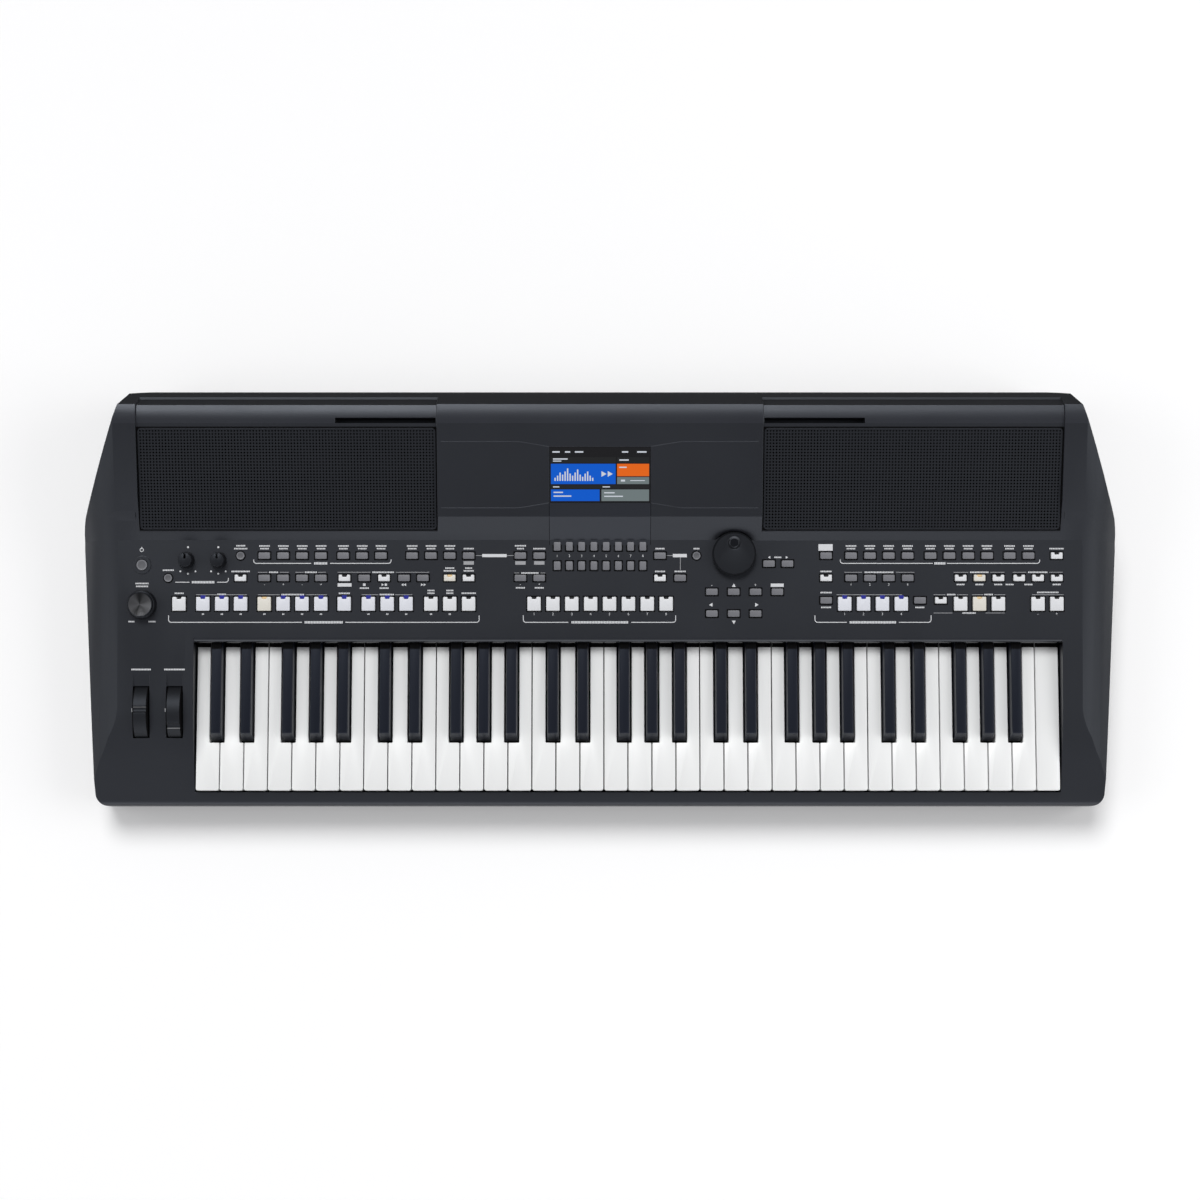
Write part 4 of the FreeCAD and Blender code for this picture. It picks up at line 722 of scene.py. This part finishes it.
def flat_layer(title, finish, plane, bars=(), arrows=(), numbers=(), words=(), discs=(),
               lift=0.0, ink=0.05, frame_wide=0):
    """A printed layer on a slope. With a frame width, only the rims of its shapes stay."""
    layer = blank_layer(title)
    for x, v, wide, tall in words:
        bpy.ops.mesh.primitive_grid_add(size=1, location=(x * MM, v * MM, 0), y_subdivisions=1,
                                        x_subdivisions=max(2, round(wide / 1.5)))
        bpy.ops.transform.resize(value=(wide * MM, tall * MM, 1), center_override=(x * MM, v * MM, 0))
    if words:
        inset_all(0.17)
        bpy.ops.mesh.select_all(action="INVERT")
        bpy.ops.mesh.delete(type="FACE")
    for x, v, radius in discs:
        bpy.ops.mesh.primitive_circle_add(vertices=28, radius=radius * MM, fill_type="NGON",
                                          location=(x * MM, v * MM, 0))
    for x, v, wide, tall in bars:
        bpy.ops.mesh.primitive_plane_add(size=1, location=(x * MM, v * MM, 0))
        bpy.ops.transform.resize(value=(wide * MM, tall * MM, 1), center_override=(x * MM, v * MM, 0))
    for x, v, radius, turn in arrows:
        bpy.ops.mesh.primitive_circle_add(vertices=3, radius=radius * MM, fill_type="NGON",
                                          location=(x * MM, v * MM, 0),
                                          rotation=(0, 0, math.radians(turn)))
    if frame_wide:
        inset_all(frame_wide)
        bpy.ops.mesh.delete(type="FACE")
    end_edit()
    for x, v, tall, sign in numbers:
        bpy.ops.object.text_add(location=(x * MM, v * MM, 0))
        glyph = bpy.context.object
        glyph.data.body = sign
        glyph.data.size = tall * MM
        glyph.data.align_x = "CENTER"
        glyph.data.align_y = "CENTER"
        glyph.data.resolution_u = 3
        bpy.ops.object.convert(target="MESH")
        bpy.ops.object.transform_apply()
        layer.select_set(True)
        bpy.context.view_layer.objects.active = layer
        bpy.ops.object.join()
    pick(layer)
    coat = layer.modifiers.new("coat", "SOLIDIFY")
    coat.thickness = ink * MM
    coat.offset = 1
    bpy.ops.object.modifier_apply(modifier=coat.name)
    layer.location.z = lift * MM
    return lay(layer, finish, plane)


def line_layer(title, paths, wide, finish, plane, squash=0.2):
    """Fine lines: each path is pulled out point by point, then given a flattened section."""
    blank_layer(title)
    for path in paths:
        bpy.ops.mesh.primitive_plane_add(size=MM, location=(path[0][0] * MM, path[0][1] * MM, 0))
        bpy.ops.mesh.merge(type="CENTER")
        for before, after in zip(path, path[1:]):
            step = ((after[0] - before[0]) * MM, (after[1] - before[1]) * MM, 0)
            bpy.ops.mesh.extrude_vertices_move(TRANSFORM_OT_translate={"value": step})
        bpy.ops.mesh.select_all(action="DESELECT")
    end_edit()
    bpy.ops.object.convert(target="CURVE")
    layer = bpy.context.object
    layer.data.bevel_depth = wide / 2 * MM
    layer.data.bevel_resolution = 1
    layer.data.use_fill_caps = True
    bpy.ops.object.convert(target="MESH")
    layer = bpy.context.object
    layer.scale.z = squash
    return lay(layer, finish, plane)


def bracket(x, end, foot, height, radius=2.5):
    """Half a bracket: down from its tip, round a corner and along its foot to the end."""
    inwards = 1 if end > x else -1
    points = [(x, foot + height)]
    for step in range(6):
        angle = math.radians(90 * step / 5)
        points.append((x + inwards * radius * (1 - math.cos(angle)), foot + radius * (1 - math.sin(angle))))
    points.append((end, foot))
    return points


print("flat work can be drawn")

# %% [markdown]
# ## Perforated speaker covers
# The covers are thin sheet with thousands of small square holes set on their corners. Only one
# cell is drawn: a square sheet is divided in four, its middle corner is cut off, which leaves a
# diamond, and the diamond is pushed down and removed. Two arrays repeat the cell over the sheet,
# and a folded rim made from a box holds it. Black cloth lies behind the holes, a dark frame is painted
# shade in the gap around the cover, and flat strips close the rim of the bay before and behind it.

# %% Covers
COVER_X, COVER_V, COVER_WIDE, COVER_TALL = 299.75, 51.35, 285.1, 98.5
SHEET, FOLD, FOLD_TOP, FOLD_WIDE = 0.9, 3.0, 1.0, 1.25
COLUMNS, ROWS, HOLE_REACH = 94, 32, 1.08


def perforated(title, x):
    """A sheet full of holes in a folded rim, with its middle at the given x."""
    wide = (COVER_WIDE - 2 * FOLD_WIDE) / COLUMNS
    tall = (COVER_TALL - 2 * FOLD_WIDE) / ROWS
    first_x = x - COVER_WIDE / 2 + FOLD_WIDE + wide / 2
    first_v = COVER_V - COVER_TALL / 2 + FOLD_WIDE + tall / 2
    start = (first_x * MM, first_v * MM, SHEET * MM)
    bpy.ops.mesh.primitive_plane_add(size=1, location=start)
    sheet = bpy.context.object
    sheet.name = title
    sheet.scale = (wide * MM, tall * MM, 1)
    bpy.ops.object.transform_apply()
    bpy.ops.object.mode_set(mode="EDIT")
    bpy.ops.mesh.subdivide(number_cuts=1)
    end_edit()
    choose_points(sheet, lambda point: (point - Vector(start)).length < 0.01 * MM)
    bpy.ops.mesh.bevel(affect="VERTICES", offset=HOLE_REACH * MM, segments=1)
    bpy.ops.mesh.extrude_region_move(TRANSFORM_OT_translate={"value": (0, 0, -SHEET * MM)})
    bpy.ops.mesh.delete(type="FACE")
    end_edit()
    for count, step in ((COLUMNS, (wide * MM, 0, 0)), (ROWS, (0, tall * MM, 0))):
        repeat = sheet.modifiers.new("repeat", "ARRAY")
        repeat.use_relative_offset = False
        repeat.use_constant_offset = True
        repeat.constant_offset_displace = step
        repeat.count = count
        repeat.use_merge_vertices = True
        repeat.merge_threshold = 0.00002
        bpy.ops.object.modifier_apply(modifier=repeat.name)
    bpy.ops.mesh.primitive_cube_add(size=1, location=(x * MM, COVER_V * MM, (FOLD_TOP - FOLD / 2) * MM))
    fold = bpy.context.object
    fold.scale = (COVER_WIDE * MM, COVER_TALL * MM, FOLD * MM)
    bpy.ops.object.transform_apply()
    round_uprights(fold, 3.8, 5, lambda low, high: True)
    choose_faces(fold, lambda face: face.normal.z > 0.9)
    bpy.ops.mesh.inset(thickness=FOLD_WIDE * MM, depth=0)
    bpy.ops.mesh.extrude_region_move(TRANSFORM_OT_translate={"value": (0, 0, -SHEET * MM)})
    bpy.ops.mesh.delete(type="FACE")
    end_edit()
    soften(fold, 0.35, 2, 60)
    sheet.select_set(True)
    bpy.context.view_layer.objects.active = sheet
    bpy.ops.object.join()
    sheet.data.materials.clear()
    sheet.data.materials.append(PERFORATED)
    return settle(sheet, BAFFLE)


covers = [perforated("left_cover", -COVER_X), perforated("right_cover", COVER_X)]
for cover in covers:
    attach(cover, "case")
    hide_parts("speaker_grilles")
CLOTH = moulded("black_speaker_cloth", (0.0008, 0.0008, 0.0009), 0.95, 900.0, 0.3)
BAY_X, BAY_WIDE = 299.65, 287.2
CLOTH_LESS, GAP_MORE = 3.1, 2.3
for side, hand in ((-1, "left"), (1, "right")):
    cloth_bar = (side * COVER_X, COVER_V, COVER_WIDE - CLOTH_LESS, COVER_TALL - CLOTH_LESS)
    cloth = flat_layer("speaker_cloth_" + hand, CLOTH, BAFFLE, [cloth_bar], lift=-1.1)
    pick(cloth)
    bpy.ops.object.shade_flat()
    # Painted shade: a dark frame in the gap around the cover.
    gap_bar = (side * COVER_X, COVER_V, COVER_WIDE + GAP_MORE, COVER_TALL + GAP_MORE)
    gap = flat_layer("cover_gap_" + hand, SHADE_AND_SEAM_BLACK, BAFFLE, [gap_bar], lift=0.25, frame_wide=1.5)
    strip_bars = [(side * BAY_X, 103.4, BAY_WIDE, 3.5), (side * BAY_X, 0.6, BAY_WIDE, 0.9)]
    strip = flat_layer("cover_strip_" + hand, CASE, BAFFLE, strip_bars, lift=-0.03)
print("faces in a cover:", len(covers[0].data.polygons))

# %% [markdown]
# ## Marks on the panel
# Brackets gather the buttons into groups, thin rules run beside labels, and rows of small blocks
# stand for the labels. Positions are in millimetres across the panel and up its slope. Rules and labels
# are listed by their distance up the slope.

# %% Brackets and rules
LOW_TITLES, LIVE_TITLE, HIGH_TITLES = 19.9, 58.6, 76.8
low_pairs = [(-416.2, -287.5), (-116.6, -245.7), (-74.0, -30.6), (73.0, 30.2), (207.4, 238.1), (319.4, 288.3)]
high_pairs = [(-334.2, -278.7), (-201.6, -260.5), (231.9, 321.1), (424.3, 334.8)]
brackets = [bracket(x, end, LOW_TITLES, 6.7) for x, end in low_pairs]
brackets += [bracket(x, end, HIGH_TITLES, 3.7) for x, end in high_pairs]
brackets.append(bracket(-358.6, -369.5, LIVE_TITLE, 4.1))
brackets.append([(-409.8, LIVE_TITLE), (-396.3, LIVE_TITLE)])
rules = {
    28.9: [(321.9, 340), (372, 390.7)],
    46.5: [(-389.7, -369.5), (-360.8, -340.6), (-330.1, -309), (-284, -263.4), (-230, -213.9),
           (-197.5, -181.2), (228.3, 291.4), (321.9, 333.2), (344.4, 354.9), (358.9, 369.8),
           (380.4, 391), (416.8, 447.3)],
    67.5: [(-82.7, -78), (-57.5, -52.8)],
    68.2: [(-330.1, -321), (-309, -300.4), (-294, -286), (-272, -264.3), (-253.2, -221.6),
           (-196.9, -164.9), (235.9, 252.8), (285.7, 303.4), (341.2, 355.4), (376.6, 390.3),
           (398.3, 411.3), (433.5, 446.5)],
    84.3: [(-119.5, -113.7), (-90.1, -83.1), (64.5, 70.3)],
}
rule_paths = [[(start, v), (end, v)] for v, pairs in rules.items() for start, end in pairs]
rule_paths.append([(77.5, 82.6), (77.5, 70.4)])
line_layer("panel_brackets", brackets, 0.75, PAINT, PANEL)
line_layer("panel_rules", rule_paths, 0.5, FAINT, PANEL)
print("brackets:", len(brackets), "rules:", len(rule_paths))

# %% Labels, arrows and numbers
LABEL_TALL, TITLE_TALL = 1.75, 2.6
labels = {
    LOW_TITLES: [(-266.6, 37), (-0.2, 55), (263.2, 45)],
    20.6: [(-452, 6), (-432.2, 7)],
    27.8: [(-163.1, 2.4), (-144.9, 2.4)],
    28.9: [(356, 13)],
    34.3: [(308.6, 9), (218.1, 10)],
    46.7: [(-296.5, 22), (-205.7, 14), (338.8, 8.5), (375, 8.5)],
    46.9: [(-365.1, 8.5)],
    47.9: [(-406, 9), (-246.7, 11)],
    48.0: [(-163.1, 7), (-144.9, 7), (-126.7, 14)],
    48.6: [(218.1, 11)],
    48.8: [(432, 21)],
    50.6: [(-163.1, 7), (-144.9, 7)],
    52.9: [(-227.4, 9), (-208.3, 9)],
    53.2: [(-76.8, 9), (-58.6, 9)],
    54.6: [(-441.9, 12)],
    56.4: [(395.2, 8), (413.4, 8), (440.6, 8), (347.9, 8), (366.1, 8), (384.2, 8)],
    57.4: [(-441.9, 13)],
    LIVE_TITLE: [(-383, 22)],
    67.5: [(-67.7, 17)],
    68.2: [(-315, 9), (-279, 12), (-209.3, 21), (269.2, 28), (366, 18), (422.4, 19)],
    69: [(-346.8, 18), (57.9, 10), (77.3, 11), (218.1, 11)],
    69.6: [(-145, 12), (-126.8, 10)],
    70.2: [(-416.6, 11)],
    72.2: [(-145, 9), (-126.8, 7)],
    HIGH_TITLES: [(-269.6, 13), (328, 11)],
    82.6: [(171.7, 7)],
    91.0: [(-346.8, 13), (-126.7, 10), (-76.8, 7), (-58.6, 12), (57.9, 9), (93.1, 6), (440.6, 14)],
    93.8: [(-346.8, 9), (-76.8, 11)],
}
words = []
for v, row in labels.items():
    tall = TITLE_TALL if v in (LOW_TITLES, LIVE_TITLE, HIGH_TITLES) else LABEL_TALL
    words += [(x, v, wide, tall) for x, wide in row]
upper_rows = row_of(-323.8, 4) + row_of(-247.7, 3) + row_of(-181.3, 3) + row_of(242.2, 4)
for x in upper_rows + row_of(318.9, 4) + row_of(395.2, 2):
    words += [(x, 93.6, 10.5, LABEL_TALL), (x, 91.0, 8.5, LABEL_TALL)]
for x in row_of(-383, 3) + row_of(-323.8, 4) + row_of(-223.4, 3):
    words.append((x, 27.8, 2.4, LABEL_TALL))
live_dots = [(x, 69.1, 0.85) for x in (-404.9, -390.4, -375.3, -361.2)]
live_dots += [(-397.6, 66.8, 0.85), (-368.4, 66.8, 0.85), (-397.6, 92.4, 0.95), (-368.4, 92.4, 0.95)]
arrows = [
    (129.1, 55.2, 2.2, 0), (107.4, 36.8, 2.2, 90), (150.8, 36.8, 2.2, -90), (129.1, 20.4, 2.2, 180),
    (163.6, 82.6, 1.5, 90), (180.0, 82.6, 1.5, -90), (-210, 56.2, 1.5, -90), (-190.3, 56.2, 1.5, 90),
    (-187.8, 56.2, 1.5, 90), (-172, 56.2, 1.5, -90), (-169.4, 56.2, 1.5, -90),
]
solid_bars = [
    (-101.9, 84.3, 23.6, 3.0), (77.1, 84.3, 13.5, 3.2), (217.7, 92.2, 13.7, 6.3), (-246.5, 56.0, 13.5, 3.2),
    (171, 55.7, 12.5, 3.2), (-206.6, 56.2, 2.2, 2.2), (-227.4, 56.2, 2.4, 2.4),
]
grey_bars = [(-126.7, 77.2, 10, 3.4), (-76.8, 77.2, 10, 3.4), (-58.6, 77.2, 10, 3.4)]


def counted(first, count, v, tall, pitch=BUTTON_PITCH):
    """The numbers from one upwards along a row."""
    return [(x, v, tall, str(place + 1)) for place, x in enumerate(row_of(first, count, pitch))]


numbers = counted(-63.6, 8, 27.8, 3.4) + counted(-41.3, 8, 83.9, 3.2, 11.81)
numbers += counted(236, 4, 27.8, 3.4) + counted(242.2, 4, 56.3, 3.2)
numbers += [(x, 56.4, 3.6, sign) for x, sign in zip(row_of(-323.8, 4), "-+-+")]
numbers += [(-76.8, 56.6, 3.6, "-"), (-58.6, 56.6, 3.6, "+"), (422.4, 28, 4, "-"), (440.6, 28, 4, "+"),
            (107.9, 55.8, 4, "-"), (150, 55.8, 4, "+")]
POWER_X = -442.3
flat_layer("panel_labels", PAINT, PANEL, words=words)
flat_layer("panel_signs", PAINT, PANEL, solid_bars, arrows, numbers, discs=live_dots)
flat_layer("standby_ring", PAINT, PANEL, discs=[(POWER_X, 89.8, 1.9)], frame_wide=0.55)
flat_layer("standby_stroke", PAINT, PANEL, [(POWER_X, 91.6, 0.6, 2.2)], lift=0.02)
flat_layer("panel_boxes", FAINT, PANEL, grey_bars)
print("labels:", len(words), "numbers:", len(numbers))

# %% Wells around the buttons
# Painted shade in the wells: round caps are framed by dark discs, all others by dark bars; only the rim
# outside the opening is kept.
ROUND_CAP, OPENING, RIM = 3.8, 0.33, 0.8
around = OPENING + RIM
framed = [(x, v, wide + 2 * around, tall + 2 * around) for x, v, wide, tall in wells]
round_caps = ((-346.8, TOP_ROW), (-416.6, MIDDLE_ROW), (93.1, TOP_ROW))
ringed = [(x, v, ROUND_CAP + around) for x, v in round_caps]
flat_layer("button_wells", SHADE_AND_SEAM_BLACK, PANEL, framed, discs=ringed, ink=0.03, frame_wide=RIM)
# Painted light: a glowing bar on the panel behind each blue lamp, for the light it spills there.
glow = [(x, v + 7.5, 4.8, 1.5) for x, v in blue_spots]
flat_layer("lamp_glow", LAMP_BLUE, PANEL, glow, lift=0.03, ink=0.03)
print("wells:", len(framed) + len(ringed), "glowing lamps:", len(glow))

# %% [markdown]
# ## Marks beside the wheels
# The wheels sit in front of the panel, where the case bends down. A ray cast downwards finds the
# height and tilt of the case at each mark, so the print lies on the surface.

# %% Wheel marks
def landing(x, y):
    place, normal = shell.ray_cast((x * MM, y * MM, 0.5), (0, 0, -1))[1:3]
    tilt = math.degrees(math.atan2(-normal.y, normal.z))
    return slope(place.y / MM, place.z / MM, tilt)


WHEEL_LABEL_Y, WHEEL_INDEX_Y, INDEX_ASIDE = -74.5, -113.5, 8.8
for place, (x, wide) in enumerate(((PITCH_X, 19), (MODULATION_X, 20))):
    label_slope = landing(x, WHEEL_LABEL_Y)
    flat_layer("wheel_label_%d" % (place + 1), PAINT, label_slope, words=[(x, 0, wide, 1.9)])
    index_x = x - INDEX_ASIDE
    index_slope = landing(index_x, WHEEL_INDEX_Y)
    flat_layer("wheel_index_%d" % (place + 1), FAINT, index_slope, [(index_x, 0, 0.8, 3.4)])
print("wheel labels at height", round(landing(PITCH_X, WHEEL_LABEL_Y).translation.z / MM, 1))

# %% [markdown]
# ## Display
# The glass is black and lies just under the deck. On it glow two blue tiles, an orange one, two
# grey ones and dark strips between them. A row of level bars and two arrows stand on the wide blue
# tile, and short bars stand for words. The tiles lie a few hundredths of a millimetre above the
# glass, so that they need no transparency.

# %% Picture on the display
def lit_tile(name, colour):
    return glowing(name, colour, 1.0, (0.001, 0.001, 0.001), 0.5, Specular_IOR_Level=0.08)


SCREEN_BLUE = lit_tile("screen_blue", (0.003, 0.100, 0.585))
SCREEN_ORANGE = lit_tile("screen_orange", (0.76, 0.13, 0.010))
SCREEN_GREY = lit_tile("screen_grey", (0.155, 0.190, 0.195))
SCREEN_DARK = lit_tile("screen_dark", (0.016, 0.017, 0.018))
SCREEN_WHITE = lit_tile("screen_white", (0.60, 0.64, 0.70))
TILE_LIFT, SIGN_LIFT, TILE_INK = -0.29, -0.25, 0.03
picture = [
    ("screen_blue_tiles", [(-16, 41.2, 62, 19.6), (-23.7, 20.6, 46.6, 11.2)], SCREEN_BLUE),
    ("screen_orange_tile", [(31.7, 45.0, 30.6, 12.0)], SCREEN_ORANGE),
    ("screen_grey_tile", [(31.7, 34.8, 30.6, 6.8), (24.2, 20.6, 45.6, 11.2)], SCREEN_GREY),
    ("screen_dark_strips", [(-16, 54.6, 62, 5.4), (31.7, 54.6, 30.6, 5.4), (0, 28.7, 94, 3.4)], SCREEN_DARK),
]
for title, bars, finish in picture:
    flat_layer(title, finish, DECK, bars, lift=TILE_LIFT, ink=TILE_INK)
heights = (3, 5, 8, 6, 9, 12, 7, 5, 8, 11, 6, 4, 7, 9, 5, 3)
levels = [(-43 + 2.4 * index, 34.5 + tall / 2, 1.3, tall) for index, tall in enumerate(heights)]
small_signs = [
    (-42, 62.4, 7, 1.4), (-31, 62.4, 5, 1.4), (-20, 62.4, 8, 1.4), (24, 62.4, 6, 1.4), (40, 62.4, 9, 1.4),
    (-38, 55.6, 14, 1.2), (-41, 53.6, 8, 1.0), (23, 54.6, 9, 1.3), (-40, 23.4, 9, 1.2), (-36, 19.8, 17, 1.2),
    (9, 23.0, 10, 1.1), (13, 19.6, 18, 1.1), (22, 47.6, 7, 1.2), (36, 34.8, 14, 0.7), (22, 34.8, 4, 1.8),
    (-42, 28.7, 6, 1.0), (6, 28.7, 7, 1.0),
]
play_arrows = [(3, 41.2, 3.2, -90), (9, 41.2, 3.2, -90)]
signs = flat_layer("screen_signs", SCREEN_WHITE, DECK, levels + small_signs, play_arrows,
                   lift=SIGN_LIFT, ink=TILE_INK)
print("tiles:", sum(len(bars) for title, bars, finish in picture))

# %% [markdown]
# ## Apron and deck lines
# Below the display a smooth strip runs down over the step to the panel, between two fine lines.
# Raised lines flare from the corners of the display to the speaker bays, drawn pale: a painted highlight
# along them.

# %% Apron
APRON = moulded("apron_gloss_plastic", (0.0095, 0.0105, 0.0145), 0.42, 3000.0, 0.02, **SATIN)
APRON_WIDE, EDGE_X, EDGE_WIDE = 97, 48.7, 0.45
apron_runs = (("deck", DECK, 0.2, 13.2), ("step", RISER, 0.3, 25.3), ("foot", PANEL, 94.6, 99.2))
for run, plane, low, high in apron_runs:
    bar = (0, (low + high) / 2, APRON_WIDE, high - low)
    flat_layer("apron_" + run, APRON, plane, [bar], ink=0.08)
for run, plane, low, high in apron_runs:
    strips = [(side * EDGE_X, (low + high) / 2, EDGE_WIDE, high - low) for side in (-1, 1)]
    flat_layer("apron_edge_" + run, SHADE_AND_SEAM_BLACK, plane, strips, ink=0.09)
EDGE = moulded("case_edge_plastic", (0.030, 0.032, 0.037), 0.4, **SHEEN)
sides = []
for side in (-1, 1):
    for corner, flare in ((67.6, 72.4), (13.2, 8.4)):
        sides.append([(side * 49.0, corner), (side * 77.6, flare), (side * 152, flare)])
line_layer("deck_lines", sides, 0.6, EDGE, DECK, 0.3)
print("apron runs:", len(apron_runs), "deck lines:", len(sides))

# %% [markdown]
# ## Studio
# A white floor carries the soft shadow. A broad sun from behind and a little from the left throws
# that shadow forwards, and two softboxes hang left and right. The sky is darkest at the horizon
# and brightest half-way up. Mirrored rays see another sky, brightest near the horizon in front, so
# that slopes facing the player look brighter than the flat panel, as in the photograph.

# %% Floor
FLOOR_COLOUR, FLOOR_GLOW = (0.83, 0.83, 0.83, 1.0), (0.168, 0.168, 0.168, 1.0)
bpy.ops.mesh.primitive_plane_add(size=80, location=(0, 0, 0))
floor = bpy.context.object
floor.name = "studio_floor"
floor_finish, floor_skin, floor_place = start_finish("studio_white", Roughness=0.9)
floor_skin.inputs["Base Color"].default_value = FLOOR_COLOUR
floor_skin.inputs["Specular IOR Level"].default_value = 0.0
floor_skin.inputs["Emission Strength"].default_value = 1.0
rays = floor_place.node("ShaderNodeLightPath", {}, {}, "Is Camera Ray")
for kind in ("Is Glossy Ray", "Is Transmission Ray"):
    rays = rays.sum("MAXIMUM", rays, floor_place.node("ShaderNodeLightPath", {}, {}, kind))
rays.mix((0, 0, 0, 1), FLOOR_GLOW).into(floor_skin, "Emission Color")
floor.data.materials.append(floor_finish)
print("floor:", floor.name)

# %% Lights
def studio_light(kind, name, place, turn, power, size):
    bpy.ops.object.light_add(type=kind, location=place, rotation=[math.radians(a) for a in turn])
    lamp = bpy.context.object
    lamp.name = name
    lamp.data.energy = power
    if kind == "SUN":
        lamp.data.angle = math.radians(size)
    else:
        lamp.data.shape = "RECTANGLE"
        lamp.data.size, lamp.data.size_y = size
    return lamp


studio_light("SUN", "key_light", (-0.4, 1.6, 2.9), (-29, -8, 0), 1.9, 26)
studio_light("AREA", "left_softbox", (-2.7, -0.1, 2.35), (0, -50, 0), 20, (2.4, 2.4))
studio_light("AREA", "right_softbox", (2.7, -0.1, 2.35), (0, 50, 0), 33, (2.4, 2.4))
world = bpy.data.worlds.new("studio_sky")
bpy.context.scene.world = world
world.use_nodes = True
sky = world.node_tree.nodes["Background"]
look = Wire(world.node_tree, world.node_tree.nodes.new("ShaderNodeTexCoord").outputs["Generated"])
height = look.node("ShaderNodeSeparateXYZ", {}, {0: look}, 2)
front = look.sum("MAXIMUM", look.node("ShaderNodeSeparateXYZ", {}, {0: look}, 1) * -1, 0.0)
ramp = {"stops": [(0.0, (0.72, 0.72, 0.73, 1)), (1.0, (0.225, 0.225, 0.24, 1))]}
height.node("ShaderNodeValToRGB", ramp, {0: height}).into(sky, "Color")
mirrored = look.node("ShaderNodeLightPath", {}, {}, "Is Glossy Ray")
soft = 0.17 + height * 0.8
(soft + mirrored * (0.66 + front * front * 3.3 - soft)).into(sky, "Strength")
